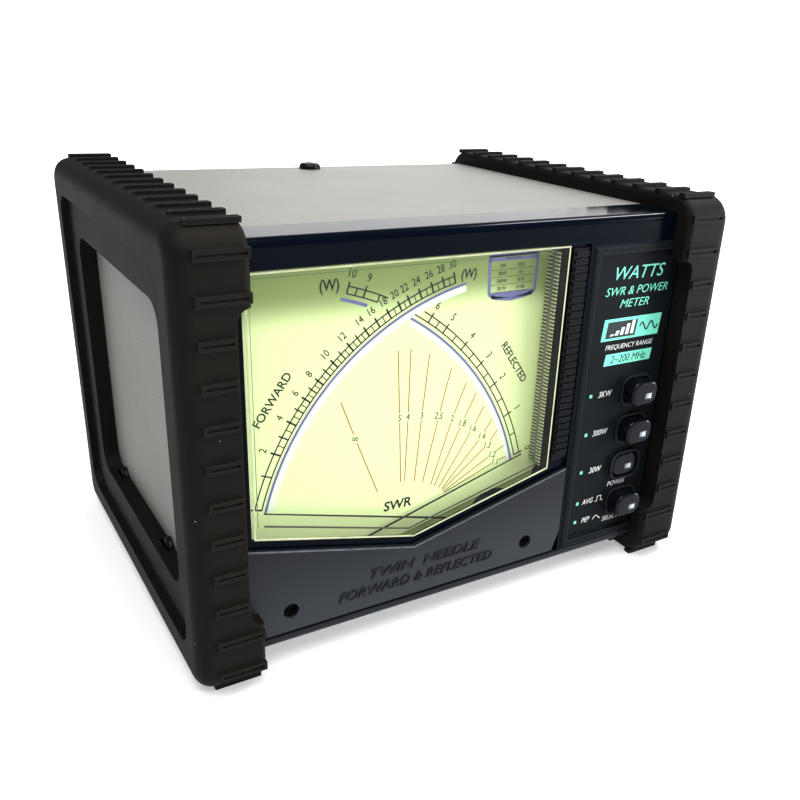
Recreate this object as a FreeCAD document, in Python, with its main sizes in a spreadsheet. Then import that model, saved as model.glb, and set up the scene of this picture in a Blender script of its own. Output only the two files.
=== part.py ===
import FreeCAD, Part
import math
import operator
import os
import Sketcher
from FreeCAD import Placement, Rotation, Vector

# A crossed-needle SWR and power meter: a metal case between two ribbed rubber guards.
# +X right, front towards -Y, +Z up; the origin is at the middle of the base of its box.

doc = FreeCAD.newDocument("swr_meter")
sheet = doc.addObject("Spreadsheet::Sheet", "sizes")

# Driving dimensions in mm: alias, value, what it is.
DIMENSIONS = [
    ("width", 155, "over the two guards"),
    ("height", 111.5, "over the ribs of the guards"),
    ("depth", 126.5, "from the front ribs to the tips of the sockets"),
    ("guard_depth", 119.5, "guards, front ribs to rear ribs"),
    ("guard_side", 6.5, "rubber outside the case side"),
    ("guard_front", 6.5, "rib tops to the bezel face"),
    ("guard_top", 5, "rib tops to the cover"),
    ("guard_rear", 5.5, "case back to the rear rib tops"),
    ("guard_reach", 16.3, "guard side face to the inner edge of its top band"),
    ("guard_narrow", 12.8, "the same on the narrow stretch of the front and rear"),
    ("guard_tab", 17.5, "height of the wide tab at a corner"),
    ("guard_corner", 7, "rounding of the guard seen from the side"),
    ("guard_edge", 4.5, "rounding of the guard's outer edge"),
    ("step_margin", 10, "outside of the guard to the step in its side"),
    ("window_margin", 20, "outside of the guard to its side opening"),
    ("step_sink", 2, "how far the stepped band lies in"),
    ("rib_pitch", 9, "spacing of the grip ribs"),
    ("rib_height", 0.8, "grip rib over the rubber"),
    ("rib_width", 2.2, "grip rib"),
    ("rib_groove", 0.7, "groove along a grip rib"),
    ("sheet_metal", 1.2, "cover and chassis thickness"),
    ("bezel_deep", 13.5, "bezel face to the seam with the cover"),
    ("bezel_wall", 2, "moulded bezel walls and front"),
    ("meter_middle", -17.6, "middle of the meter window across the front"),
    ("window_wide", 86.8, "clear window"),
    ("window_top", 11.9, "top of the guards to the top of the window"),
    ("window_shoulder", 74.7, "the same to the lower side corners"),
    ("window_point", 85.1, "the same to the lowest point"),
    ("window_face", 7, "rib tops to the window's front"),
    ("window_thick", 2, "clear window front"),
    ("dial_face", 14, "rib tops to the printed dial"),
    ("dial_thick", 0.8, "dial plate"),
    ("strip_left", 27, "ribbed strip, left edge"),
    ("strip_wide", 5.3, "ribbed strip"),
    ("panel_left", 33.4, "control panel, left edge"),
    ("panel_wide", 35.2, "control panel"),
    ("panel_top", 12.6, "top of the guards to the top of the panel"),
    ("panel_tall", 90.1, "control panel"),
    ("panel_lip", 2.2, "raised frame around the panel"),
    ("button_x", 55.3, "buttons, across the front"),
    ("button_first", 55.2, "top of the guards to the first button"),
    ("button_pitch", 12, "spacing of the buttons"),
    ("button_wide", 9.6, "button cap"),
    ("button_tall", 7.2, "button cap"),
    ("button_out", 2, "rib tops to the face of a released cap"),
    ("button_travel", 4, "stroke"),
    ("cap_long", 8.5, "button cap, front to back"),
    ("plunger_side", 3.2, "square plunger"),
    ("forward_x", 12.9, "axis of the forward needle"),
    ("forward_down", 90.1, "the same below the top"),
    ("reflected_x", -54.8, "axis of the reflected needle"),
    ("reflected_down", 93, "the same below the top"),
    ("adjuster_forward_x", 19.8, "zero screw of the forward needle"),
    ("adjuster_reflected_x", -52.4, "zero screw of the reflected needle"),
    ("adjuster_down", 96.7, "zero screws below the top"),
    ("adjuster_hole", 2.05, "radius of the adjuster holes"),
    ("pin_throw", 0.7, "eccentric pin on a zero screw"),
    ("yoke_outer", 9.3, "iron ring, outer radius"),
    ("yoke_inner", 7.2, "iron ring, inner radius"),
    ("core_radius", 4.6, "magnet core"),
    ("socket_x", 28, "sockets each side of the middle"),
    ("socket_down", 55, "sockets below the top"),
    ("socket_thread", 7.9, "radius of the sockets' thread"),
    ("screw_head", 3.4, "radius of the case screws' heads"),
]


class Size:
    """A length that knows its number and its expression in the sheet."""

    def __init__(self, number, text=None):
        self.number = float(number)
        self.text = text or f"({self.number:g})"

    def join(self, other, sign, work, turned=False):
        first, second = (as_size(other), self) if turned else (self, as_size(other))
        text = f"({first.text} {sign} {second.text})"
        return Size(work(first.number, second.number), text)

    def __add__(self, other):
        return self.join(other, "+", operator.add)

    def __radd__(self, other):
        return self.join(other, "+", operator.add, True)

    def __sub__(self, other):
        return self.join(other, "-", operator.sub)

    def __rsub__(self, other):
        return self.join(other, "-", operator.sub, True)

    def __mul__(self, other):
        return self.join(other, "*", operator.mul)

    def __rmul__(self, other):
        return self.join(other, "*", operator.mul, True)

    def __truediv__(self, other):
        return self.join(other, "/", operator.truediv)

    def __neg__(self):
        return 0 - self

    def __float__(self):
        return self.number


def as_size(value):
    return value if isinstance(value, Size) else Size(value)


for row, (alias, value, meaning) in enumerate(DIMENSIONS, 1):
    sheet.set(f"A{row}", meaning)
    sheet.set(f"B{row}", str(value))
    sheet.setAlias(f"B{row}", alias)
doc.recompute()
D = {alias: Size(value, f"sizes.{alias}") for alias, value, meaning in DIMENSIONS}


def behind(distance):
    """Y of a plane this far behind the front rib tops."""
    return distance - D["depth"] / 2


def below(distance):
    """Z of a level this far below the top rib tops."""
    return D["height"] - distance


# ---- features bound to the sheet -------------------------------------------------------

ALONG = {"x": Rotation(Vector(0, 1, 0), 90), "y": Rotation(Vector(1, 0, 0), -90), "z": Rotation()}


def bound(kind, x, y, z, turn=None, **sizes):
    """A Part primitive whose sizes and place are expressions of the sheet."""
    item = doc.addObject(kind, kind.split("::")[1].lower())
    if turn:
        item.Placement = Placement(Vector(), turn)
    for name, length in sizes.items():
        item.setExpression(name, as_size(length).text)
    for axis, length in zip("xyz", (x, y, z)):
        item.setExpression(f"Placement.Base.{axis}", as_size(length).text)
    return item


def block(x, y, z):
    """A box from three pairs of limits."""
    (x0, x1), (y0, y1), (z0, z1) = x, y, z
    spans = {"Length": x1 - as_size(x0), "Width": y1 - as_size(y0), "Height": z1 - as_size(z0)}
    return bound("Part::Box", x0, y0, z0, **spans)


def rod(along, centre, radius, limits):
    """A cylinder along an axis; centre holds its two other coordinates."""
    low, high = limits
    place = list(centre)
    place.insert("xyz".index(along), low)
    tall = high - as_size(low)
    return bound("Part::Cylinder", *place, turn=ALONG[along], Radius=radius, Height=tall)


def tube(along, centre, outer, inner, limits):
    return cut(rod(along, centre, outer, limits), rod(along, centre, inner, limits))


def joined(kind, name, items):
    item = doc.addObject(kind, name)
    setattr(item, "Links" if kind == "Part::Compound" else "Shapes", list(items))
    return item


def fuse(*items):
    return items[0] if len(items) == 1 else joined("Part::MultiFuse", "fuse", items)


def group(*items):
    """Separate solids that share one node."""
    return joined("Part::Compound", "group", items)


def cut(base, *tools):
    item = doc.addObject("Part::Cut", "cut")
    item.Base = base
    item.Tool = fuse(*tools)
    return item


def common(first, second):
    item = doc.addObject("Part::Common", "common")
    item.Base = first
    item.Tool = second
    return item


def rounded(base, radius, choose):
    """Round the edges of base that choose(edge) picks."""
    doc.recompute()
    item = doc.addObject("Part::Fillet", "rounded")
    item.Base = base
    radius = float(radius)
    edges = enumerate(base.Shape.Edges, 1)
    item.Edges = [(number, radius, radius) for number, edge in edges if choose(edge)]
    return item


def runs(edge, axis):
    """True for a straight edge along X, Y or Z."""
    if edge.Curve.TypeId != "Part::GeomLine":
        return False
    return abs(edge.Curve.Direction["xyz".index(axis)]) > 0.999


def lies(edge, axis, level):
    """True if the whole edge lies at this level of an axis."""
    low, high = (getattr(edge.BoundBox, axis.upper() + end) for end in ("Min", "Max"))
    return abs(low - float(level)) < 0.01 and abs(high - float(level)) < 0.01


def plate(name, outline, y, thick, corner=None):
    """A flat piece padded backwards from a sketch of (x, z) corners."""
    body = doc.addObject("PartDesign::Body", name)
    sketch = body.newObject("Sketcher::SketchObject", name + "_outline")
    origin = {feature.Role: feature for feature in body.Origin.OriginFeatures}
    sketch.AttachmentSupport = [(origin["XZ_Plane"], "")]
    sketch.MapMode = "FlatFace"
    sketch.setExpression("AttachmentOffset.Base.z", (-as_size(y)).text)
    corners = [Vector(float(x), float(z), 0) for x, z in outline]
    lines = [Part.LineSegment(a, b) for a, b in zip(corners, corners[1:] + corners[:1])]
    sketch.addGeometry(lines, False)
    for index, (x, z) in enumerate(outline):
        after = (index + 1) % len(outline)
        sketch.addConstraint(Sketcher.Constraint("Coincident", index, 2, after, 1))
        for direction, length in (("DistanceX", as_size(x)), ("DistanceY", as_size(z))):
            rule = Sketcher.Constraint(direction, -1, 1, index, 1, length.number)
            number = sketch.addConstraint(rule)
            sketch.setExpression(f"Constraints[{number}]", length.text)
    pad = body.newObject("PartDesign::Pad", name + "_pad")
    pad.Profile = sketch
    pad.Reversed = True
    pad.setExpression("Length", as_size(thick).text)
    body.Tip = pad
    if corner:
        doc.recompute()
        edges = enumerate(pad.Shape.Edges, 1)
        upright = [f"Edge{number}" for number, edge in edges if runs(edge, "y")]
        fillet = body.newObject("PartDesign::Fillet", name + "_corners")
        fillet.Base = (pad, upright)
        fillet.setExpression("Radius", as_size(corner).text)
        body.Tip = fillet
    return body


def shaped(name, shape):
    """A Part::Feature for what no primitive or sketch makes."""
    item = doc.addObject("Part::Feature", name)
    item.Shape = shape
    item.Placement = shape.Placement
    return item


def wire_along(points, radius):
    """A round wire on straight runs joined by tangent arcs."""
    corners = [Vector(*point) for point in points]
    edges = []
    start = corners[0]
    for before, corner, after in zip(corners, corners[1:], corners[2:]):
        inward, outward = (before - corner), (after - corner)
        shorter = min(inward.Length, outward.Length)
        inward.normalize()
        outward.normalize()
        half_turn = (math.pi - inward.getAngle(outward)) / 2
        reach = 0.45 * shorter
        bend = reach / math.tan(half_turn)
        middle = (inward + outward).normalize()
        hub = corner + middle * (bend / math.cos(half_turn))
        first, last = corner + inward * reach, corner + outward * reach
        edges.append(Part.LineSegment(start, first).toShape())
        edges.append(Part.Arc(first, hub - middle * bend, last).toShape())
        start = last
    edges.append(Part.LineSegment(start, corners[-1]).toShape())
    path = Part.Wire(edges)
    circle = Part.makeCircle(radius, corners[0], corners[1] - corners[0])
    return path.makePipeShell([Part.Wire([circle])], True, False)


nodes = []


def node(name, item):
    """Name a finished sub-part; the name is also its file's name."""
    item.Label = name
    nodes.append(item)
    return item


# ---- rubber guards ---------------------------------------------------------------------

half_width = D["width"] / 2
case_x = half_width - D["guard_side"]
case_front = behind(D["guard_front"])
case_rear = behind(D["guard_depth"] - D["guard_rear"])
case_top = below(D["guard_top"])
case_low = as_size(D["guard_top"]) + 0.5
guard_rear = behind(D["guard_depth"])
rib = D["rib_height"]
guard_y = (behind(rib), guard_rear - rib)
guard_z = (rib + 0, below(rib))


def mirror_span(side, inner, outer):
    """Limits along X of a stretch between two distances from the middle."""
    return (as_size(inner), as_size(outer)) if side > 0 else (-as_size(outer), -as_size(inner))


def margin_block(side, inner, outer, margin):
    """A block through the guard's side, this far inside its outline."""
    y = (behind(margin), guard_rear - margin)
    z = (margin + 0, below(margin))
    return rounded(block(mirror_span(side, inner, outer), y, z), 6, lambda e: runs(e, "x"))


def guard_ribs(side):
    """Grip ribs across the front, back, top and base bands, and the groove along each."""
    outer = half_width - D["guard_edge"]
    narrow = half_width - D["guard_narrow"] + 0.3
    reach = half_width - D["guard_reach"] + 0.3
    half, half_groove = D["rib_width"] / 2, D["rib_groove"] / 2
    root = 0.4
    deep = 0.45
    inset = 0.7
    ribs, grooves = [], []
    upright_count = 12
    for index in range(upright_count):
        level = below(6.2 + D["rib_pitch"] * index)
        start = reach if index < 2 or index >= upright_count - 2 else narrow
        x = mirror_span(side, start, outer)
        inner_stretch = mirror_span(side, start + inset, outer - inset)
        z, groove_z = ((level - wide, level + wide) for wide in (half, half_groove))
        ribs.append(block(x, (behind(0), behind(rib + root)), z))
        ribs.append(block(x, (guard_rear - rib - root, guard_rear), z))
        grooves.append(block(inner_stretch, (behind(-1), behind(deep)), groove_z))
        grooves.append(block(inner_stretch, (guard_rear - deep, guard_rear + 1), groove_z))
    x = mirror_span(side, reach, outer)
    inner_stretch = mirror_span(side, reach + inset, outer - inset)
    for index in range(13):
        place = behind(5.7 + D["rib_pitch"] * index)
        y, groove_y = ((place - wide, place + wide) for wide in (half, half_groove))
        ribs.append(block(x, y, (below(rib + root), below(0))))
        ribs.append(block(x, y, (as_size(0), rib + root)))
        grooves.append(block(inner_stretch, groove_y, (below(deep), below(-1))))
        grooves.append(block(inner_stretch, groove_y, (as_size(-1), as_size(deep))))
    return ribs, grooves


side_screw_places = [(behind(y), below(93)) for y in (42.9, 90)]


def guard(side):
    reach = half_width - D["guard_reach"]
    shell = block(mirror_span(side, reach, half_width), guard_y, guard_z)
    shell = rounded(shell, D["guard_corner"], lambda e: runs(e, "x"))
    face = side * float(half_width)
    shell = rounded(shell, D["guard_edge"], lambda e: lies(e, "x", face))
    edge = side * float(reach)
    shell = rounded(shell, 1.5, lambda e: lies(e, "x", edge))
    proud_lip = 0.5
    case = block(mirror_span(side, 0, case_x), (case_front - proud_lip, case_rear),
                 (case_low, case_top))
    step = margin_block(side, half_width - D["step_sink"], half_width + 1, D["step_margin"])
    opening = margin_block(side, case_x - 1, half_width + 1, D["window_margin"])
    notch_x = mirror_span(side, reach - 1, half_width - D["guard_narrow"])
    notch_z = (D["guard_tab"] + 0, below(D["guard_tab"]))
    notch_y = (behind(-1), guard_rear + 1)
    corner = side * float(half_width - D["guard_narrow"])
    notch = rounded(block(notch_x, notch_y, notch_z), 3, lambda e: lies(e, "x", corner) and runs(e, "y"))
    pockets = [rod("x", place, D["screw_head"] + 0.5, mirror_span(side, case_x - 1, case_x + 2.4))
               for place in side_screw_places]
    ribs, grooves = guard_ribs(side)
    return cut(fuse(cut(shell, case, step, opening, notch, *pockets), *ribs), *grooves)


for name, side in (("guard_left", -1), ("guard_right", 1)):
    node(name, guard(side))

# ---- metal case ------------------------------------------------------------------------

metal = D["sheet_metal"]
seam = behind(D["guard_front"] + D["bezel_deep"])
inner_x = case_x - metal
top_screw = (as_size(0), behind(111.2) - 1.5)
screw_hole = 1.7


def top_cover():
    """A sheet bent down at both sides; its screw holes are drilled through."""
    outside = block((-case_x, case_x), (seam, case_rear), (case_low + metal, case_top))
    outside = rounded(outside, 2, lambda e: runs(e, "y") and e.BoundBox.ZMin > float(case_top) - 1)
    hollow = block((-inner_x, inner_x), (seam - 1, case_rear + 1), (0, case_top - metal))
    holes = [rod("z", top_screw, screw_hole, (case_top - 3, case_top + 1))]
    for place in side_screw_places:
        holes.append(rod("x", place, screw_hole, (-case_x - 1, case_x + 1)))
    return cut(outside, hollow, *holes)


node("top_cover", top_cover())

base_screw_places = [(x, behind(y)) for x in (-50, 50) for y in (52, 100)]
rear_wall = (case_rear - metal, case_rear + 0)
socket_level = below(D["socket_down"])
socket_places = [(-D["socket_x"], socket_level), (D["socket_x"], socket_level)]
flange_hole = 9.1
inlet = (as_size(0), below(90))


def chassis():
    """Base and back from one sheet, with flanges that the cover screws into."""
    base = block((-inner_x, inner_x), (seam, case_rear), (case_low, case_low + metal))
    back = block((-inner_x, inner_x), rear_wall, (case_low, case_top - metal))
    lips = [block((-inner_x, inner_x), (case_rear - 12, case_rear),
                  (case_top - 2 * metal, case_top - metal))]
    for side in (-1, 1):
        x = mirror_span(side, inner_x - metal, inner_x)
        lips.append(block(x, (seam + 2, case_rear), (case_low, below(85))))
    holes = [rod("z", top_screw, 1.5, (case_top - 4, case_top))]
    holes += [rod("x", place, 1.5, (-case_x, case_x)) for place in side_screw_places]
    holes += [rod("z", place, screw_hole, (0, case_low + 3)) for place in base_screw_places]
    span = (case_rear - 3, case_rear + 1)
    for x, z in socket_places:
        holes.append(rod("y", (x, z), 6.2, span))
        for dx in (-flange_hole, flange_hole):
            for dz in (-flange_hole, flange_hole):
                holes.append(rod("y", (x + dx, z + dz), 1.6, span))
    holes.append(rod("y", inlet, 4.05, span))
    return cut(fuse(base, back, *lips), *holes)


node("chassis", chassis())


def truss_screw(along, centre, seat, outward, stem=6):
    """A low domed head on its seat, with a thread running inward."""
    dome = 1.8
    low, high = (seat, seat + dome) if outward > 0 else (seat - dome, seat + 0)
    head = rod(along, centre, D["screw_head"], (low, high))
    face = float(seat) + outward * dome
    head = rounded(head, 1.3, lambda e: lies(e, along, face))
    drive = (seat + 0.9, seat + 3) if outward > 0 else (seat - 3, seat - 0.9)
    spread = [(a, b) for a, b in (((-0.4, 0.4), (-1.6, 1.6)), ((-1.6, 1.6), (-0.4, 0.4)))]
    crosses = []
    for first, second in spread:
        spans = [tuple(centre[0] + end for end in first), tuple(centre[1] + end for end in second)]
        spans.insert("xyz".index(along), drive)
        crosses.append(block(*spans))
    shank = (seat - stem, seat + 0.3) if outward > 0 else (seat - 0.3, seat + stem)
    return fuse(cut(head, *crosses), rod(along, centre, 1.45, shank))


case_screws = [truss_screw("z", top_screw, case_top, 1)]
for place in side_screw_places:
    case_screws.append(truss_screw("x", place, case_x, 1))
    case_screws.append(truss_screw("x", place, -case_x, -1))
for place in base_screw_places:
    case_screws.append(truss_screw("z", place, case_low, -1, 5))
node("case_screws", group(*case_screws))

# ---- front bezel, fascia, strip and control panel --------------------------------------

wall = D["bezel_wall"]
meter_x = D["meter_middle"]
half_window = D["window_wide"] / 2


def shield(grow, drop=None):
    """Outline of the meter window: a box with a shallow V for its base."""
    drop = grow if drop is None else drop
    left, right = meter_x - half_window - grow, meter_x + half_window + grow
    top = below(D["window_top"] - grow)
    shoulder = below(D["window_shoulder"] + drop)
    point = below(D["window_point"] + drop)
    return [(left, top), (right, top), (right, shoulder), (meter_x, point), (left, shoulder)]


fascia_sink = 1.2
strip_deep = 1.2
fascia_low = below(103.3)
fascia_gap = 0.8
fascia_left = -case_x + 3
fascia_right = D["panel_left"] - 1
bezel_low = case_low + wall


def fascia_outline():
    """A mask whose top edge runs parallel to the window's V, above a gap along its base."""
    edge = below(D["window_shoulder"] + 1)
    point = below(D["window_point"] + 2.6)
    base = fascia_low + fascia_gap
    slant = [(fascia_right - 2.2, base), (fascia_right, fascia_low + 7)]
    return [(fascia_left, edge), (fascia_left, base), *slant, (fascia_right, edge),
            (meter_x, point)]


strip_x = (D["strip_left"], D["strip_left"] + D["strip_wide"])
strip_z = (below(72.3), below(12.8))
panel_x = (D["panel_left"], D["panel_left"] + D["panel_wide"])
panel_z = (below(D["panel_top"] + D["panel_tall"]), below(D["panel_top"]))
plate_back = behind(D["guard_front"] + wall)
adjusters = {
    "forward": (D["adjuster_forward_x"], below(D["adjuster_down"])),
    "reflected": (D["adjuster_reflected_x"], below(D["adjuster_down"])),
}


def front_bezel():
    outside = block((-case_x, case_x), (case_front, seam), (case_low, case_top))
    outside = rounded(outside, 2, lambda e: runs(e, "y") or lies(e, "y", case_front))
    hollow = block((wall - case_x, case_x - wall), (plate_back, seam + 1),
                   (bezel_low, case_top - wall))
    window_hole = plate("window_hole", shield(as_size(0.3)), case_front - 1, wall + 2)
    recess = block((fascia_left, fascia_right), (case_front - 1, case_front + fascia_sink),
                   (fascia_low, below(D["window_top"] - 0.3)))
    panel_hole = block(panel_x, (case_front - 1, plate_back + 1), panel_z)
    span = (case_front - 1, plate_back + 1)
    bores = [rod("y", place, D["adjuster_hole"], span) for place in adjusters.values()]
    bezel = cut(outside, hollow, window_hole, recess, panel_hole, *bores)
    lugs = [block(mirror_span(side, inner_x - metal - 2, inner_x - metal - 0.2),
                  (behind(11), seam + 6), (case_low + metal, case_low + 9))
            for side in (-1, 1)]
    return fuse(bezel, *lugs)


node("front_bezel", front_bezel())


def lower_fascia():
    """A thin mask under the window, with two adjuster holes and raised bars."""
    body = plate("fascia_plate", fascia_outline(), case_front, fascia_sink)
    span = (case_front - 1, case_front + 2)
    bores = [rod("y", place, D["adjuster_hole"], span) for place in adjusters.values()]
    return cut(body, *bores)


node("lower_fascia", lower_fascia())


def ribbed_strip():
    pitch = 2.0
    base = block(strip_x, (case_front + strip_deep / 2, case_front + strip_deep), strip_z)
    bars = []
    for index in range(29):
        level = strip_z[1] - 1.4 - pitch * index
        span = (level - 0.6, level + 0.6)
        x = (strip_x[0] + 0.6, strip_x[1] - 0.6)
        bars.append(block(x, (case_front + 0, case_front + strip_deep - 0.4), span))
    return fuse(base, *bars)


node("ribbed_strip", ribbed_strip())

BUTTONS = ["high_range", "middle_range", "low_range", "averaging"]
LATCHED = "low_range"
button_levels = {name: below(D["button_first"] + D["button_pitch"] * index)
                 for index, name in enumerate(BUTTONS)}
panel_face = behind(7.2)


def button_block(name, grow, y, round_by):
    """A rounded bar on a button's axis, larger than its cap by grow on each side."""
    x = D["button_x"]
    z = button_levels[name]
    half_x = D["button_wide"] / 2 + grow
    half_z = D["button_tall"] / 2 + grow
    bar = block((x - half_x, x + half_x), y, (z - half_z, z + half_z))
    return rounded(bar, round_by, lambda e: runs(e, "y"))


def control_panel():
    """A recessed plate in a raised frame, with a raised ring around each button."""
    body = block(panel_x, (behind(6), behind(9.5)), panel_z)
    body = rounded(body, 0.8, lambda e: lies(e, "y", behind(6)))
    lip = D["panel_lip"]
    recess = block((panel_x[0] + lip, panel_x[1] - lip), (behind(5), panel_face),
                   (panel_z[0] + lip, panel_z[1] - lip))
    rings = [button_block(name, 1.0, (behind(5.9), panel_face + 0.1), 3.4) for name in BUTTONS]
    holes = [button_block(name, 0.35, (behind(5), behind(10)), 2.9) for name in BUTTONS]
    posts = [rod("y", (D["button_x"], level), 1.9, (behind(9.4), behind(16.8)))
             for level in (below(48.6), below(98.4))]
    return fuse(cut(fuse(cut(body, recess), *rings), *holes), *posts)


node("control_panel", control_panel())

# ---- meter: window, dial, case ---------------------------------------------------------

window_back = behind(D["window_face"] + D["window_thick"])
dial_y = behind(D["dial_face"])


def meter_window():
    """A clear moulding; its lower edge stays open for the needles."""
    face = plate("window_front", shield(as_size(0)), behind(D["window_face"]), D["window_thick"], 1.2)
    left, right = meter_x - half_window, meter_x + half_window
    top, shoulder = below(D["window_top"]), below(D["window_shoulder"])
    skin = 1.2
    y = (window_back - 0.2, dial_y)
    walls = [
        block((left, right), y, (top - skin, top)),
        block((left, left + skin), y, (shoulder, top - 1)),
        block((right - skin, right), y, (shoulder, top - 1)),
    ]
    return fuse(face, *walls)


node("meter_window", meter_window())
dial_outline = shield(as_size(1), as_size(3))
node("dial_plate", plate("dial_sheet", dial_outline, dial_y, D["dial_thick"], 1))
guide_y = dial_y + D["dial_thick"]
guide_thick = 0.4

axes = {
    "forward": (D["forward_x"], below(D["forward_down"])),
    "reflected": (D["reflected_x"], below(D["reflected_down"])),
}
guide_sheet = plate("guide_sheet", shield(as_size(1), as_size(6.5)), guide_y, as_size(guide_thick), 1)
guide_span = (guide_y - 1, guide_y + 1)
node("light_guide", cut(guide_sheet, rod("y", axes["forward"], 8.5, guide_span)))
lamp_places = [(-45, below(24)), (10, below(24))]
tub_back = (behind(37), behind(38.6))


def meter_case():
    """A deep black tub behind the bezel, with a cup for each movement."""
    x = (-66.5, 29.5)
    z = (below(103.9), below(8.9))
    skin = 1.5
    tub = block(x, (plate_back, tub_back[1]), z)
    hollow = block((x[0] + skin, x[1] - skin), (plate_back - 1, tub_back[0]),
                   (z[0] + skin, z[1] - skin))
    parts = [cut(tub, hollow)]
    parts += [tube("y", place, D["yoke_outer"] + 0.95, D["yoke_outer"], (behind(21), tub_back[0] + 0.5))
              for place in axes.values()]
    dial_posts = [(-54, below(22)), (19, below(22)), (-54, below(66)), (19, below(66))]
    parts += [rod("y", place, 2.4, (guide_y + guide_thick, tub_back[0] + 0.5))
              for place in dial_posts]
    lamp_holes = [rod("y", place, 3, (tub_back[0] - 1, tub_back[1] + 1)) for place in lamp_places]
    return cut(fuse(*parts), *lamp_holes)


node("meter_case", meter_case())


def lamp(place):
    """A wedge lamp in a push-in holder."""
    holder = rod("y", place, 3, (tub_back[0] - 1, behind(42)))
    bulb = rod("y", place, 2.2, (behind(28), tub_back[0] - 1))
    bulb = rounded(bulb, 2, lambda e: lies(e, "y", behind(28)))
    return fuse(holder, bulb)


node("lamps", group(*[lamp(place) for place in lamp_places]))

# ---- two moving-coil movements ---------------------------------------------------------


def point_at(centre, degrees, radius):
    """The (x, z) point at this radius; 0 degrees is +X and 90 is +Z."""
    angle = math.radians(degrees)
    return (float(centre[0]) + radius * math.cos(angle), float(centre[1]) + radius * math.sin(angle))


def bar_shape(centre, degrees, reach, half_wide, y):
    """A flat bar on a ray from an axis, between two radii."""
    low, high = float(y[0]), float(y[1])
    shape = Part.makeBox(reach[1] - reach[0], high - low, 2 * half_wide,
                         Vector(reach[0], low, -half_wide))
    shape.rotate(Vector(), Vector(0, 1, 0), -degrees)
    shape.translate(Vector(float(centre[0]), 0, float(centre[1])))
    return shape


def disc_shape(centre, radius, y):
    low, high = float(y[0]), float(y[1])
    start = Vector(float(centre[0]), low, float(centre[1]))
    return Part.makeCylinder(radius, high - low, start, Vector(0, 1, 0))


def needle_shape(centre, degrees, length, plane):
    """Hub, tapered pointer, balance tail and the pivots, in one rigid piece."""
    root_half, tip_half, thin = 0.28, 0.13, 0.13
    y = float(behind(plane))
    corners = [(1.0, -root_half), (length, -tip_half), (length, tip_half), (1.0, root_half)]
    wire = Part.makePolygon([Vector(r, y - thin, s) for r, s in corners + corners[:1]])
    pointer = Part.Face(wire).extrude(Vector(0, 2 * thin, 0))
    pointer.rotate(Vector(), Vector(0, 1, 0), -degrees)
    pointer.translate(Vector(float(centre[0]), 0, float(centre[1])))
    tail = bar_shape(centre, degrees + 180, (1.0, 6.2), 0.5, (y - thin, y + thin))
    weight = disc_shape(point_at(centre, degrees + 180, 5.6), 1.2, (y - 0.5, y + 0.5))
    hub = disc_shape(centre, 1.5, (behind(11.3), behind(13.5)))
    collet = disc_shape(centre, 0.7, (behind(10.3), behind(11.3)))
    tip = disc_shape(centre, 0.3, (behind(9.8), behind(10.3)))
    shaft = disc_shape(centre, 0.8, (behind(13.5), behind(15.5)))
    return hub.multiFuse([pointer, tail, weight, collet, tip, shaft]).removeSplitter()


def coil_shape(centre, degrees):
    """A wound frame around the core, with the rear pivot."""
    outer = Part.makeBox(13, 15, 3.6, Vector(-6.5, float(behind(15.5)), -1.8))
    inner = Part.makeBox(10.6, 12.6, 5, Vector(-5.3, float(behind(16.7)), -2.5))
    frame = outer.cut(inner)
    frame.rotate(Vector(), Vector(0, 1, 0), -degrees)
    frame.translate(Vector(float(centre[0]), 0, float(centre[1])))
    stub = disc_shape(centre, 0.8, (behind(30.5), behind(32.2)))
    tip = disc_shape(centre, 0.3, (behind(32.2), behind(32.7)))
    return frame.multiFuse([stub, tip])


def spiral_shape(centre, inner, outer, turns, y):
    """A flat hairspring: a ribbon wound from its collet outwards."""
    steps = int(turns * 24)
    low, high = float(y[0]), float(y[1])
    half_thin = 0.07
    sides = []
    for sign in (-1, 1):
        points = []
        for step in range(steps + 1):
            share = step / steps
            radius = inner + (outer - inner) * share + sign * half_thin
            x, z = point_at(centre, 360 * turns * share, radius)
            points.append(Vector(x, low, z))
        sides.append(points)
    curves = []
    for points in sides:
        curve = Part.BSplineCurve()
        curve.interpolate(points)
        curves.append(curve.toShape())
    ends = [Part.LineSegment(sides[0][end], sides[1][end]).toShape() for end in (0, -1)]
    outline = Part.Wire(Part.__sortEdges__([curves[0], ends[1], curves[1], ends[0]]))
    return Part.Face(outline).extrude(Vector(0, high - low, 0))


def zero_arm_shape(centre, screw):
    """A flat arm around the front jewel; its fork holds the screw's pin."""
    dx = float(screw[0]) - float(centre[0])
    dz = float(screw[1]) - float(centre[1])
    reach = math.hypot(dx, dz) + float(D["pin_throw"])
    degrees = math.degrees(math.atan2(dz, dx))
    y = (behind(9.6), behind(10))
    ring = disc_shape(centre, 2.2, y)
    arm = bar_shape(centre, degrees, (1.8, reach + 1.3), 1.2, y)
    spring_arm = bar_shape(centre, 90, (1.8, 4.6), 0.5, y)
    bore = disc_shape(centre, 1.28, (behind(9), behind(11)))
    slot = bar_shape(centre, degrees, (reach - 1.0, reach + 2), 0.6, (behind(9), behind(11)))
    return ring.multiFuse([arm, spring_arm]).cut(bore).cut(slot)


def zero_screw_shape(centre, screw):
    """A slotted head in the fascia's hole, with an eccentric pin behind."""
    dx = float(screw[0]) - float(centre[0])
    dz = float(screw[1]) - float(centre[1])
    degrees = math.degrees(math.atan2(dz, dx))
    head = disc_shape(screw, 1.8, (behind(7.3), behind(8.4)))
    slot = bar_shape(screw, 0, (-3, 3), 0.3, (behind(7), behind(7.8)))
    stem = disc_shape(screw, 1.1, (behind(8.4), behind(9.3)))
    pin_place = point_at(screw, degrees, float(D["pin_throw"]))
    pin = disc_shape(pin_place, 0.35, (behind(9.2), behind(10.3)))
    return head.cut(slot).multiFuse([stem, pin])


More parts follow.
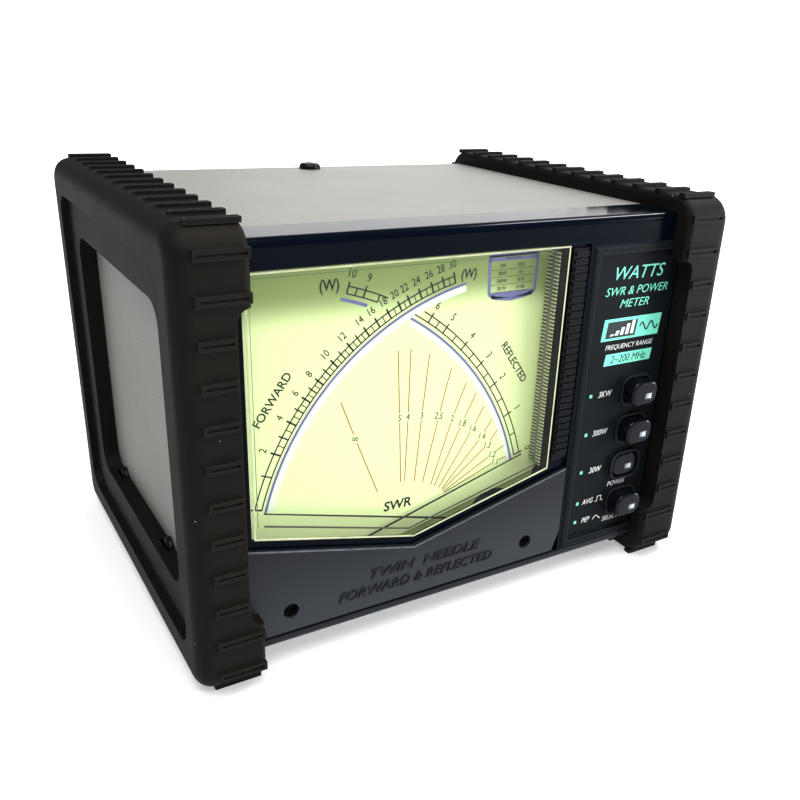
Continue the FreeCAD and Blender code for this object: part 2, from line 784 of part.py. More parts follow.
REST_DEGREES = {"forward": 164.7, "reflected": 15.8}
NEEDLE_LENGTH = {"forward": 72.0, "reflected": 78.5}
NEEDLE_PLANE = {"forward": 12.0, "reflected": 13.0}
jewels = []
for name, centre in axes.items():
    yoke_y = (behind(17), behind(29))
    node(f"yoke_{name}", tube("y", centre, D["yoke_outer"], D["yoke_inner"], yoke_y))
    core = rod("y", centre, D["core_radius"], (behind(17.6), behind(28.4)))
    ear = block((centre[0] - 1.2, centre[0] + 1.2), (behind(18.5), behind(27.5)),
                (centre[1] - 8, centre[1] + 8))
    cup = rod("y", centre, D["yoke_inner"], yoke_y)
    node(f"core_{name}", fuse(core, common(ear, cup)))
    bridges = []
    for bar_y, post_y in (((8.7, 9.4), (9.3, 17)), ((33.5, 34.3), (29, 33.6))):
        bar = block((centre[0] - 9.2, centre[0] + 9.2), tuple(behind(y) for y in bar_y),
                    (centre[1] - 1.4, centre[1] + 1.4))
        posts = [block((centre[0] + side * 8.3 - 0.9, centre[0] + side * 8.3 + 0.9),
                       tuple(behind(y) for y in post_y), (centre[1] - 1.4, centre[1] + 0.2))
                 for side in (-1, 1)]
        bore = rod("y", centre, 1.2, (behind(bar_y[0] - 1), behind(bar_y[1] + 1)))
        bridges.append(cut(fuse(bar, *posts), bore))
    node(f"bridges_{name}", group(*bridges))
    for span, mouth in (((8.6, 10.2), (9.6, 10.3)), ((32.3, 35), (32.2, 32.9))):
        jewel = rod("y", centre, 1.2, tuple(behind(y) for y in span))
        cup = rod("y", centre, 0.36, tuple(behind(y) for y in mouth))
        jewels.append(cut(jewel, cup))
    needle = needle_shape(centre, REST_DEGREES[name], NEEDLE_LENGTH[name], NEEDLE_PLANE[name])
    node(f"needle_{name}", shaped(f"needle_{name}_shape", needle))
    lean = 33 if name == "forward" else -24
    node(f"coil_{name}", shaped(f"coil_{name}_shape", coil_shape(centre, lean)))
    spring = spiral_shape(centre, 0.9, 3.9, 4.25, (behind(10.4), behind(10.8)))
    node(f"hairspring_{name}", shaped(f"hairspring_{name}_shape", spring))
    screw = adjusters[name]
    node(f"zero_arm_{name}", shaped(f"zero_arm_{name}_shape", zero_arm_shape(centre, screw)))
    turn_screw = zero_screw_shape(centre, screw)
    node(f"zero_screw_{name}", shaped(f"zero_screw_{name}_shape", turn_screw))
node("jewel_screws", group(*jewels))

# ---- push buttons and their switches ---------------------------------------------------

switch_front = 16.8
frame_thick = 1.2
body_x = (D["button_x"] - 5, D["button_x"] + 5)


def button_face(name):
    """How far a cap's face lies behind the rib tops."""
    pressed = D["button_travel"] if name == LATCHED else as_size(0)
    return D["button_out"] + pressed


def square_bar(name, half, y):
    x, z = D["button_x"], button_levels[name]
    return block((x - half, x + half), y, (z - half, z + half))


def button_cap(name):
    """A rounded cap with a small sunk mark near one corner of its face."""
    front = button_face(name)
    y = (behind(front), behind(front + D["cap_long"]))
    cap = button_block(name, 0, y, 2.8)
    cap = rounded(cap, 0.9, lambda e: lies(e, "y", y[0]))
    x, z = D["button_x"] + 1.5, button_levels[name] - 0.9
    mark = block((x - 1.4, x + 1.4), (y[0] - 1, y[0] + 0.5), (z - 0.9, z + 0.9))
    return cut(cap, mark)


def plunger(name):
    """A square rod from the cap through its switch, with a latch notch."""
    start = button_face(name) + D["cap_long"]
    body = square_bar(name, D["plunger_side"] / 2, (behind(start), behind(start + 33.5)))
    x, z = D["button_x"], button_levels[name]
    notch = block((x - 3, x + 3), (behind(start + 3.9), behind(start + 5.4)), (z + 1.1, z + 3))
    return cut(body, notch)


def return_spring(name):
    start = float(button_face(name) + D["cap_long"]) + 0.05
    tall = switch_front - 0.05 - start
    turns, coil_radius, wire = 3.5, 2.65, 0.2
    helix = Part.makeHelix((tall - 2 * wire) / turns, tall - 2 * wire, coil_radius)
    sides = 8
    rim = []
    for index in range(sides + 1):
        angle = 2 * math.pi * (index % sides) / sides
        rim.append(Vector(coil_radius + wire * math.cos(angle), 0, wire * math.sin(angle)))
    section = Part.makePolygon(rim)
    spring = helix.makePipeShell([section], True, True)
    spring.rotate(Vector(), Vector(1, 0, 0), -90)
    spring.translate(Vector(float(D["button_x"]), float(behind(start + wire)),
                            float(button_levels[name])))
    return spring


for name in BUTTONS:
    node(f"button_{name}", button_cap(name))
    node(f"plunger_{name}", plunger(name))
    node(f"return_spring_{name}", shaped(f"return_spring_{name}_shape", return_spring(name)))

frame_z = (below(100), below(46))


def switch_frame():
    """A folded steel channel that holds the four switch bodies."""
    front = block(body_x, (behind(switch_front), behind(switch_front + frame_thick)), frame_z)
    flange_y = (behind(switch_front), behind(42))
    flanges = [block(body_x, flange_y, (frame_z[0], frame_z[0] + frame_thick)),
               block(body_x, flange_y, (frame_z[1] - frame_thick, frame_z[1]))]
    holes = [square_bar(name, 1.9, (behind(switch_front - 1), behind(switch_front + 2)))
             for name in BUTTONS]
    return cut(fuse(front, *flanges), *holes)


node("switch_frame", switch_frame())


def switch_body(name):
    z = button_levels[name]
    body = block(body_x, (behind(19.8), behind(42)), (z - 4.5, z + 4.5))
    return cut(body, square_bar(name, 1.9, (behind(19), behind(43))))


node("switch_bodies", group(*[switch_body(name) for name in BUTTONS]))


def interlock_bar():
    """A slotted plate that one pressed button shifts to free the others."""
    x = (D["button_x"] - 3.2, D["button_x"] + 3.2)
    bar = block(x, (behind(18.5), behind(19.3)), (below(97), below(49)))
    slots = []
    for name in BUTTONS:
        z = button_levels[name]
        slots.append(block((D["button_x"] - 1.9, D["button_x"] + 1.9), (behind(18), behind(20)),
                           (z - 1.9, z + 3.1)))
    return cut(bar, *slots)


node("interlock_bar", interlock_bar())
board_x = (body_x[1], body_x[1] + 1.6)
node("switch_board", block(board_x, (behind(17), behind(50)), (below(100), below(46))))

# ---- coupler and sockets ---------------------------------------------------------------

coupler_y = (behind(82), case_rear - metal)
coupler_x = (-44, 44)
coupler_z = (below(72), below(38))
tin = 1.0


def coupler_box():
    """A screening box on the back wall around the through line."""
    outside = block(coupler_x, coupler_y, coupler_z)
    hollow = block((coupler_x[0] + tin, coupler_x[1] - tin), (coupler_y[0] - 1, coupler_y[1] - tin),
                   (coupler_z[0] + tin, coupler_z[1] - tin))
    span = (coupler_y[1] - 3, coupler_y[1] + 1)
    holes = []
    for x, z in socket_places:
        holes.append(rod("y", (x, z), 6.2, span))
        for dx in (-flange_hole, flange_hole):
            for dz in (-flange_hole, flange_hole):
                holes.append(rod("y", (x + dx, z + dz), 1.6, span))
    return cut(outside, hollow, *holes)


node("coupler_box", coupler_box())
lead_hole = (20, below(48))
node("coupler_lid", cut(block(coupler_x, (coupler_y[0] - tin, coupler_y[0]), coupler_z),
                        rod("y", lead_hole, 2.5, (coupler_y[0] - 3, coupler_y[0] + 1))))

flange_y = (case_rear, case_rear + 1.6)
socket_tip = behind(D["depth"])


def socket(place):
    """A square flange with a threaded barrel, hollow for the plug."""
    x, z = place
    half = 12.7
    flange = block((x - half, x + half), flange_y, (z - half, z + half))
    flange = rounded(flange, 1.5, lambda e: runs(e, "y"))
    barrel = rod("y", place, D["socket_thread"], (flange_y[0], socket_tip))
    bore = rod("y", place, 6.2, (flange_y[0] - 1, socket_tip + 1))
    holes = [rod("y", (x + dx, z + dz), 1.6, (flange_y[0] - 1, flange_y[1] + 1))
             for dx in (-flange_hole, flange_hole) for dz in (-flange_hole, flange_hole)]
    notches = []
    for side in (-1, 1):
        notches.append(block((x - 1, x + 1), (socket_tip - 1.5, socket_tip + 1),
                             (z + side * 7.1 - 1.2, z + side * 7.1 + 1.2)))
    return cut(fuse(flange, barrel), bore, *holes, *notches)


for name, place in zip(("transmitter", "antenna"), socket_places):
    node(f"socket_{name}", socket(place))
insulators = [tube("y", place, 6.2, 2.6, (case_rear - metal - tin, socket_tip - 2.5))
              for place in socket_places]
node("socket_insulators", group(*insulators))
line_y = behind(100)


def contact(place):
    body = rod("y", place, 2.6, (line_y, socket_tip - 2))
    return cut(body, rod("y", place, 2.05, (socket_tip - 14, socket_tip)))


node("socket_contacts", group(*[contact(place) for place in socket_places]))


def flange_screw(x, z):
    head = rod("y", (x, z), 2.6, (flange_y[1], flange_y[1] + 1.4))
    head = rounded(head, 0.9, lambda e: lies(e, "y", flange_y[1] + 1.4))
    slot = block((x - 3, x + 3), (flange_y[1] + 0.7, flange_y[1] + 2), (z - 0.3, z + 0.3))
    stem = rod("y", (x, z), 1.5, (case_rear - metal - 4, flange_y[1] + 0.1))
    nut = rod("y", (x, z), 2.7, (coupler_y[1] - tin - 2, coupler_y[1] - tin))
    return fuse(cut(head, slot), stem, nut)


screws = [flange_screw(x + dx, z + dz) for x, z in socket_places
          for dx in (-flange_hole, flange_hole) for dz in (-flange_hole, flange_hole)]
node("socket_screws", group(*screws))

line_span = (-D["socket_x"] + 2.6, D["socket_x"] - 2.6)
node("through_line", rod("x", (line_y + 2.4, socket_level), 1.5, line_span))
ring_x = (-7, -2)
node("toroid_core", tube("x", (line_y + 2.4, socket_level), 6.5, 3.2, ring_x))


def coupler_board():
    """A small board beside the line, with its parts soldered on."""
    board = block((-30, 24), (behind(90), behind(91.6)), (below(69), below(41)))
    trimmers = [rod("y", (x, below(62)), 3, (behind(87), behind(90.1))) for x in (-22, 14)]
    cans = [rod("y", (x, below(47)), 1.4, (behind(86.5), behind(90.1))) for x in (-24, -18, 0, 6)]
    return fuse(board, *trimmers, *cans)


node("coupler_board", coupler_board())


def dc_inlet():
    """A panel inlet for the dial lamps: a nut outside, a barrel behind."""
    nut = rod("y", inlet, 5.6, (case_rear, case_rear + 2.2))
    barrel = rod("y", inlet, 4, (behind(101), case_rear + 3))
    bore = rod("y", inlet, 2.9, (behind(104), case_rear + 4))
    pin = rod("y", inlet, 1, (behind(103), case_rear + 2))
    return fuse(cut(fuse(nut, barrel), bore), pin)


node("dc_inlet", dc_inlet())


def leads():
    """Screened lead to the switches, meter lead and lamp lead, tied inside the case."""
    top = float(D["height"])

    def place(x, back, down):
        return (x, float(behind(back)), top - down)

    to_switches = [place(20, 80.8, 48), place(20, 70, 48.5), place(30, 61, 52), place(46, 56, 58),
                   place(56, 56.5, 66), place(61.2, 52.5, 70), place(61.2, 50.05, 70)]
    to_meter = [place(61.1, 50.05, 90), place(61, 55, 90), place(54, 61, 90.5), place(40, 62, 91.5),
                place(20, 58, 92), place(8, 50, 91), place(5, 44, 88), place(5, 38.65, 88)]
    to_lamps = [place(0, 100.9, 90), place(0, 92, 90.5), place(-6, 80, 88), place(-20, 66, 74),
                place(-34, 54, 54), place(-43, 50, 34), place(-45, 47, 24.5), place(-45, 42.05, 24)]
    wires = []
    for name, points, radius in (("switches", to_switches, 1.4), ("meter", to_meter, 1.1),
                                 ("lamps", to_lamps, 1.1)):
        wires.append(shaped(f"lead_{name}", wire_along(points, radius)))
    return group(*wires)


node("leads", leads())

# ---- check and write -------------------------------------------------------------------

doc.recompute()
for item in doc.Objects:
    bad = {"Invalid", "Error"} & set(item.State)
    if bad:
        raise RuntimeError(f"{item.Name} ({item.Label}) is {bad}")
labels = [item.Label for item in nodes]
if len(set(labels)) != len(labels):
    raise RuntimeError("two nodes share a name")
os.makedirs("parts", exist_ok=True)
for item in nodes:
    shape = item.Shape
    if shape.isNull() or not shape.isValid() or not shape.Solids:
        raise RuntimeError(f"{item.Label} has no valid solid")
    shape.exportStep(f"parts/{item.Label}.step")
    box = shape.BoundBox
    limits = (box.XMin, box.XMax, box.YMin, box.YMax, box.ZMin, box.ZMax)
    print(f"{item.Label:26s}{len(shape.Solids):3d} solids {shape.Volume:10.1f} mm3  "
          + " ".join(f"{limit:8.2f}" for limit in limits))
print(len(nodes), "nodes")
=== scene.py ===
import math

import bmesh
import bpy
from mathutils import Matrix, Vector


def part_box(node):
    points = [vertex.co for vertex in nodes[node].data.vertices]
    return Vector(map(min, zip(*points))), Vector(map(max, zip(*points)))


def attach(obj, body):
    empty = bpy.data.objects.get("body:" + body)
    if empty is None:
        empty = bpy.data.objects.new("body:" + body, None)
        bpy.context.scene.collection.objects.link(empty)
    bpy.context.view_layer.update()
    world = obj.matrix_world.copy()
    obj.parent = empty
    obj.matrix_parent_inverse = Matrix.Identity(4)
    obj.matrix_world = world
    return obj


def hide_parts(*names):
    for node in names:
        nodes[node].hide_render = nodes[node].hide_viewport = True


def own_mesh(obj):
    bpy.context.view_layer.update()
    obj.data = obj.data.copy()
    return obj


# A crossed-needle SWR and power meter on a white table. Lengths are metres: +X right,
# front towards -Y, +Z up, with the origin at the middle of the base of the meter's box.
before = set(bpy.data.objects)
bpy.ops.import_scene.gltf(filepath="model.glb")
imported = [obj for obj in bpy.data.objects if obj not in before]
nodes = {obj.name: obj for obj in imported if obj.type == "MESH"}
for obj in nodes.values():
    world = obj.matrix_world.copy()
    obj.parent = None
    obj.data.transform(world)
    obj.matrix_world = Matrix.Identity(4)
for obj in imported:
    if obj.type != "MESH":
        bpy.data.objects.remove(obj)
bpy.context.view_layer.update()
MM = 0.001

# ---- Table, studio light and camera ----------------------------------------------------
# A wide white table under a large soft lamp at the upper left, with smaller ones at the
# right, behind the meter and over its right end. The lens looks down on the left corner.


class Wire:
    """A value on its way through a finish; arithmetic on it adds Math nodes."""

    def __init__(self, finish, socket):
        self.finish = finish
        self.socket = socket

    def math(self, operation, *values):
        terms = dict(enumerate(values))
        return self.finish.node("ShaderNodeMath", {"operation": operation}, terms)

    def __add__(self, other):
        return self.math("ADD", self, other)

    __radd__ = __add__

    def __sub__(self, other):
        return self.math("SUBTRACT", self, other)

    def __rsub__(self, other):
        return self.math("SUBTRACT", other, self)

    def __mul__(self, other):
        return self.math("MULTIPLY", self, other)

    __rmul__ = __mul__

    def __mod__(self, other):
        return self.math("FLOORED_MODULO", self, other)

    def __gt__(self, other):
        return self.math("GREATER_THAN", self, other)

    def __lt__(self, other):
        return self.math("LESS_THAN", self, other)

    def between(self, low, high):
        """0 below low, 1 above high, and a soft step between them."""
        limits = {0: self, 1: low, 2: high}
        return self.finish.node("ShaderNodeMapRange", {"interpolation_type": "SMOOTHSTEP"}, limits)


class Finish:
    """A material under construction around its Principled shader."""

    def __init__(self, name, **fixed):
        self.material = bpy.data.materials.new(name)
        self.material.use_nodes = True
        self.tree = self.material.node_tree
        self.shader = self.tree.nodes["Principled BSDF"]
        self.set(**fixed)

    def node(self, kind, settings=None, values=None, output=0):
        """Adds a node, with its settings first and then the values or links of its sockets."""
        made = self.tree.nodes.new(kind)
        for name, value in (settings or {}).items():
            setattr(made, name, value)
        for key, value in (values or {}).items():
            self.feed(made.inputs[key], value)
        return Wire(self, made.outputs[output])

    def feed(self, socket, value):
        if isinstance(value, Wire):
            self.tree.links.new(value.socket, socket)
        elif socket.type == "RGBA":
            socket.default_value = (*value, 1.0)
        else:
            socket.default_value = value

    def set(self, **values):
        for name, value in values.items():
            self.feed(self.shader.inputs[name.replace("_", " ")], value)

    def place(self):
        """Where a point of the piece is in the meter's own frame, in metres."""
        return self.node("ShaderNodeTexCoord", output="Object")

    def axis(self, name):
        return self.node("ShaderNodeSeparateXYZ", values={0: self.place()}, output=name)

    def noise(self, size, detail=2.0, stretch=(1, 1, 1)):
        """Soft random grain about this many metres across, from 0 to 1."""
        spot = self.node("ShaderNodeVectorMath", {"operation": "MULTIPLY"},
                         {0: self.place(), 1: stretch})
        return self.node("ShaderNodeTexNoise", None,
                         {"Vector": spot, "Scale": 1 / size, "Detail": detail})

    def cells(self, size, feature="F1"):
        return self.node("ShaderNodeTexVoronoi", {"feature": feature},
                         {"Vector": self.place(), "Scale": 1 / size})

    def blend(self, share, first, second):
        """A colour between two others."""
        return self.node("ShaderNodeMix", {"data_type": "RGBA"},
                         {0: share, 6: first, 7: second}, 2)

    def bump(self, height, depth, strength=1.0):
        """Relief this many metres deep where height goes from 0 to 1."""
        heights = {"Height": height, "Distance": depth, "Strength": strength}
        self.set(Normal=self.node("ShaderNodeBump", None, heights))
        return self

    def edges(self, radius, gain=6.0):
        """About 1 on the outer and inner edges of a piece and 0 on its flats."""
        soft = self.node("ShaderNodeBevel", {"samples": 4}, {"Radius": radius})
        flat = self.node("ShaderNodeNewGeometry", output="True Normal")
        same = self.node("ShaderNodeVectorMath", {"operation": "DOT_PRODUCT"},
                         {0: soft, 1: flat}, "Value")
        return (1 - same) * gain

    def on(self, *names):
        """Gives this finish to nodes of the frame."""
        for name in names:
            mesh = nodes[name].data
            mesh.materials.clear()
            mesh.materials.append(self.material)
        return self


def soft_lamp(name, place, aim, size, power):
    lamp = bpy.data.lights.new(name, "AREA")
    lamp.shape = "SQUARE"
    lamp.size = size
    lamp.energy = power
    holder = bpy.data.objects.new(name, lamp)
    holder.location = place
    towards = Vector(aim) - Vector(place)
    holder.rotation_euler = towards.to_track_quat("-Z", "Y").to_euler()
    holder.visible_camera = False
    bpy.context.scene.collection.objects.link(holder)


soft_lamp("key_lamp", (-0.25, -0.5, 1.6), (0, 0, 0.05), 1.3, 34)
soft_lamp("side_lamp", (1.4, -0.85, 0.35), (0, 0, 0.05), 0.6, 24)
soft_lamp("back_lamp", (0.85, 1.25, 0.5), (0, 0, 0.08), 0.9, 4)
soft_lamp("edge_lamp", (0.85, 0.0, 1.05), (0, 0, 0.08), 0.3, 9)

world = bpy.data.worlds.new("studio")
bpy.context.scene.world = world
world.use_nodes = True
room = world.node_tree.nodes["Background"]
room.inputs["Color"].default_value = (1.0, 1.0, 1.0, 1.0)
room_light, backdrop_light = 0.42, 1.05
seen = world.node_tree.nodes.new("ShaderNodeLightPath")
dim = world.node_tree.nodes.new("ShaderNodeMapRange")
dim.inputs["To Min"].default_value = room_light
dim.inputs["To Max"].default_value = backdrop_light
world.node_tree.links.new(seen.outputs["Is Camera Ray"], dim.inputs["Value"])
world.node_tree.links.new(dim.outputs[0], room.inputs["Strength"])
bpy.context.scene.view_settings.view_transform = "Standard"
bpy.context.scene.view_settings.gamma = 0.8

laminate = Finish("table_white", Base_Color=(0.55, 0.55, 0.55), Emission_Strength=1.0)
laminate.set(Roughness=0.55 + laminate.noise(0.02) * 0.1)
from_meter = laminate.node("ShaderNodeVectorMath", {"operation": "LENGTH"},
                           {0: laminate.place()}, "Value")
# The table glows: weakly near the meter, so the meter's shadow shows, and brighter further out,
# where it reads as a plain white backdrop. The glow also lights the meter from below.
near_glow, far_glow = (0.46, 0.46, 0.46), (1.1, 1.1, 1.1)
laminate.set(Emission_Color=laminate.blend(from_meter.between(0.2, 0.9), near_glow, far_glow))
half_table = 6.0
table_corners = [(-half_table, -half_table, 0), (half_table, -half_table, 0),
                 (half_table, half_table, 0), (-half_table, half_table, 0)]
table_mesh = bpy.data.meshes.new("table_top")
table_mesh.from_pydata(table_corners, [], [(0, 1, 2, 3)])
table_mesh.materials.append(laminate.material)
table = bpy.data.objects.new("table_top", table_mesh)
bpy.context.scene.collection.objects.link(table)

lens_place = Vector((-0.12035, -0.22301, 0.14146))
yaw, pitch, roll = (math.radians(angle) for angle in (-32.94, -23.59, 2.89))
gaze = Vector((-math.sin(yaw) * math.cos(pitch), math.cos(yaw) * math.cos(pitch), math.sin(pitch)))
level_right = Vector((math.cos(yaw), math.sin(yaw), 0))
level_up = level_right.cross(gaze)
lens_right = level_right * math.cos(roll) + level_up * math.sin(roll)
lens_up = level_up * math.cos(roll) - level_right * math.sin(roll)
lens = bpy.data.cameras.new("lens")
lens.sensor_width = 36
lens.lens = 38.705
lens.shift_x = -0.0447
lens.shift_y = 0.0427
lens.clip_start = 0.01
camera = bpy.data.objects.new("camera", lens)
lens_turn = Matrix((lens_right, lens_up, -gaze)).transposed().to_4x4()
camera.matrix_world = Matrix.Translation(lens_place) @ lens_turn
bpy.context.scene.collection.objects.link(camera)
bpy.context.scene.camera = camera

# ---- Rubber guards ---------------------------------------------------------------------
# Two open frames moulded in dark brown-black rubber, stretched over the ends of the case.
# Their skin is finely grained, rubbed paler on the edges, and holds specks of dust.

rubber = Finish("guard_rubber", Specular_IOR_Level=0.15)
grain = rubber.noise(0.0004, 3)
mottle = rubber.noise(0.012, 3)
worn = rubber.edges(0.0006, 3.0)
dust = rubber.cells(0.0042).between(0.052, 0.03) * (rubber.noise(0.006) > 0.56)
tone = rubber.blend(mottle, (0.0085, 0.0068, 0.0054), (0.016, 0.0132, 0.0108))
tone = rubber.blend(worn * 0.5, tone, (0.05, 0.045, 0.04))
rubber.set(Base_Color=rubber.blend(dust, tone, (0.42, 0.40, 0.37)))
rubber.set(Roughness=0.46 + grain * 0.16 + mottle * 0.1)
rubber.bump(grain + mottle * 0.5, 0.00005)
rubber.on("guard_left", "guard_right")

# ---- Metal case ------------------------------------------------------------------------
# A folded steel cover, painted warm light grey with a fine orange peel, over a plated
# chassis that forms the base and the back. Black truss-head screws hold the two together.

paint = Finish("cover_paint", Specular_IOR_Level=0.4)
speckle = paint.noise(0.0005, 4)
cloud = paint.noise(0.02, 2)
warm_dark, warm_pale = (0.215, 0.212, 0.200), (0.29, 0.287, 0.274)
paint.set(Base_Color=paint.blend(speckle.between(0.3, 0.7), warm_dark, warm_pale))
paint.set(Roughness=0.42 + cloud * 0.12 + speckle * 0.1)
paint.bump(paint.noise(0.0009, 3), 0.00006)
paint.on("top_cover")

plated = Finish("chassis_steel", Metallic=0.9)
brushed = plated.noise(0.0006, 3, (0.06, 1, 1))
bloom = plated.noise(0.015, 3)
plated.set(Base_Color=plated.blend(bloom, (0.46, 0.46, 0.45), (0.62, 0.615, 0.59)))
plated.set(Roughness=0.28 + brushed * 0.22 + bloom * 0.1)
plated.bump(brushed, 0.00002)
plated.on("chassis", "coupler_box", "coupler_lid", "switch_frame")

blacked = Finish("screw_black", Metallic=0.7)
rubbed = blacked.edges(0.0003, 3.0)
blacked.set(Base_Color=blacked.blend(rubbed, (0.012, 0.012, 0.013), (0.16, 0.15, 0.14)))
blacked.set(Roughness=0.26 + blacked.noise(0.0005) * 0.2)
blacked.on("case_screws")

# ---- Front bezel -----------------------------------------------------------------------
# The deep moulded front in glossy navy plastic. It pushes into the case, holds the meter
# and carries the window, the lower mask, the ribbed strip and the push-button panel.

navy = Finish("bezel_plastic", Specular_IOR_Level=0.09)
haze = navy.noise(0.01, 3)
scuff = navy.noise(0.0007, 3, (0.15, 1, 1))
deep_blue, edge_highlight_blue = (0.0014, 0.0042, 0.0100), (0.03, 0.038, 0.055)
rail_slate = (0.030, 0.034, 0.041)
# The bezel is painted paler along its edges: a painted highlight.
body_tone = navy.blend(navy.edges(0.0005, 2.5), deep_blue, edge_highlight_blue)
rail_top = 0.0083
navy.set(Base_Color=navy.blend(navy.axis("Z") < rail_top, body_tone, rail_slate))
navy.set(Roughness=0.08 + haze * 0.08 + scuff * 0.06)
navy.bump(navy.noise(0.0015, 2), 0.00001)
navy.on("front_bezel")

# ---- Lower mask ------------------------------------------------------------------------
# A thin satin slate mask under the window. Its upper edge is a rounded ledge beside the
# window's V, and a plain two-line legend stands slightly proud in the middle.

slate = Finish("fascia_plastic", Specular_IOR_Level=0.3)
sand = slate.noise(0.0003, 2)
# The mask is painted lighter towards its foot: a painted sheen.
painted_sheen = slate.axis("Z").between(0.036, 0.008)
slate.set(Base_Color=slate.blend(painted_sheen, (0.0135, 0.0166, 0.0235), (0.038, 0.043, 0.052)))
slate.set(Roughness=0.36 + sand * 0.12 + slate.noise(0.009) * 0.06)
slate.bump(sand, 0.000015)
slate.on("lower_fascia")


def piece(name, mesh, finish, body="root", smooth=False):
    """Puts a finished mesh into the scene, with its finish and its body."""
    made = bpy.data.objects.new(name, mesh)
    bpy.context.scene.collection.objects.link(made)
    mesh.materials.clear()
    mesh.materials.append(finish.material)
    mesh.polygons.foreach_set("use_smooth", [smooth] * len(mesh.polygons))
    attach(made, body)
    return made


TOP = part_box("guard_left")[1].z / MM
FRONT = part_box("guard_left")[0].y / MM


def spot(x, down, behind):
    """A point from its X, its depth below the top and behind the front ribs, in mm."""
    return Vector((x, FRONT + behind, TOP - down)) * MM


class Ink:
    """Marks of one colour in a plane that faces the front; x and down are in mm."""

    cap_share = 0.69

    def __init__(self):
        self.mesh = bmesh.new()

    def patch(self, corners):
        points = [self.mesh.verts.new((x, 0, -down)) for x, down in corners]
        self.mesh.faces.new(points)

    def stroke(self, points, wide):
        """A line of one width through the points."""
        sides = []
        for index, (x, down) in enumerate(points):
            before = points[max(index - 1, 0)]
            after = points[min(index + 1, len(points) - 1)]
            run = Vector((after[0] - before[0], after[1] - before[1])).normalized()
            off = Vector((-run.y, run.x)) * wide / 2
            sides.append([(x + off.x, down + off.y), (x - off.x, down - off.y)])
        rims = [[self.mesh.verts.new((x, 0, -down)) for x, down in pair] for pair in sides]
        for (a, b), (c, d) in zip(rims, rims[1:]):
            self.mesh.faces.new((a, b, d, c))

    def arc(self, centre, radius, start, end, wide):
        steps = max(2, int(abs(end - start) * 0.8))
        angles = [start + (end - start) * step / steps for step in range(steps + 1)]
        self.stroke([polar(centre, radius, angle) for angle in angles], wide)

    def letters(self, text, x, down, tall, turn=0.0, slant=0.0, squeeze=1.0, weight=0.0):
        """Plain type with its capitals this tall, centred on the point."""
        font = bpy.data.curves.new("type", "FONT")
        font.body = text
        font.size = tall / self.cap_share
        font.shear = slant
        font.offset = weight
        font.align_x = "CENTER"
        font.resolution_u = 3
        holder = bpy.data.objects.new("type", font)
        bpy.context.scene.collection.objects.link(holder)
        mesh = bpy.data.meshes.new_from_object(holder)
        lift = Matrix.Translation((0, -tall / 2, 0))
        wide = Matrix.Diagonal((squeeze, 1, 1, 1))
        spin = Matrix.Rotation(math.radians(turn), 4, "Z")
        upright = Matrix.Rotation(math.radians(90), 4, "X")
        mesh.transform(Matrix.Translation((x, 0, -down)) @ upright @ spin @ wide @ lift)
        self.mesh.from_mesh(mesh)
        bpy.data.objects.remove(holder)
        bpy.data.curves.remove(font)
        bpy.data.meshes.remove(mesh)

    def lay(self, name, behind, thick, finish, slot, body="root", turned_round=False):
        """Gives the marks their thickness, with their back at this plane.

        Marks that are turned round face the rear, and their x runs the other way."""
        flat = list(self.mesh.faces)
        raised = bmesh.ops.extrude_face_region(self.mesh, geom=flat)
        front = [v for v in raised["geom"] if isinstance(v, bmesh.types.BMVert)]
        bmesh.ops.translate(self.mesh, verts=front, vec=(0, -thick, 0))
        bmesh.ops.recalc_face_normals(self.mesh, faces=self.mesh.faces)
        mesh = bpy.data.meshes.new(name)
        self.mesh.to_mesh(mesh)
        self.mesh.free()
        spin = Matrix.Rotation(math.pi if turned_round else 0, 4, "Z")
        mesh.transform(Matrix.Translation(spot(0, 0, behind)) @ spin @ Matrix.Scale(MM, 4))
        return piece(name, mesh, finish, body)


def polar(centre, radius, degrees):
    """The (x, down) point at this angle and radius; 0 degrees is right, 90 is up."""
    angle = math.radians(degrees)
    return centre[0] + radius * math.cos(angle), centre[1] - radius * math.sin(angle)


MASK_FACE = 6.5
SLANT = 0.3
LEGEND_TALL = 2.7
legend = Ink()
legend.letters("TWIN  NEEDLE", -14.2, 92.7, LEGEND_TALL, slant=SLANT, squeeze=1.3, weight=0.015)
legend.letters("FORWARD & REFLECTED", -15.9, 97.3, LEGEND_TALL, slant=SLANT, squeeze=1.08,
               weight=0.015)
shaded = Finish("legend_plastic", Specular_IOR_Level=0.3)
# Painted shade and highlight: the letters are painted near black, with a painted highlight on
# their edges.
legend_painted_shade, legend_painted_highlight = (0.003, 0.004, 0.006), (0.14, 0.15, 0.17)
shaded.set(Base_Color=shaded.blend(shaded.edges(0.0001, 3.0), legend_painted_shade, legend_painted_highlight))
shaded.set(Roughness=0.36 + shaded.noise(0.0003) * 0.12)
legend.lay("fascia_legend", MASK_FACE, 0.3, shaded, "fascia_plastic")


def bead(name, points, radius, finish):
    """A round bead along a line of (x, down, behind) points, closed at its ends."""
    line = bpy.data.curves.new(name, "CURVE")
    line.dimensions = "3D"
    line.bevel_depth = radius * MM
    line.bevel_resolution = 3
    line.use_fill_caps = True
    spline = line.splines.new("POLY")
    spline.points.add(len(points) - 1)
    for point, place in zip(spline.points, points):
        point.co = (*spot(*place), 1)
    holder = bpy.data.objects.new(name, line)
    bpy.context.scene.collection.objects.link(holder)
    mesh = bpy.data.meshes.new_from_object(holder)
    bpy.data.objects.remove(holder)
    bpy.data.curves.remove(line)
    return piece(name, mesh, finish, smooth=True)


MASK_LEFT, MASK_MIDDLE, MASK_RIGHT = -67.7, -17.6, 32.1
MASK_SHOULDER, MASK_POINT = 76.0, 88.0
ledge = [(MASK_LEFT, MASK_SHOULDER, MASK_FACE), (MASK_MIDDLE, MASK_POINT, MASK_FACE),
         (MASK_RIGHT, MASK_SHOULDER, MASK_FACE)]
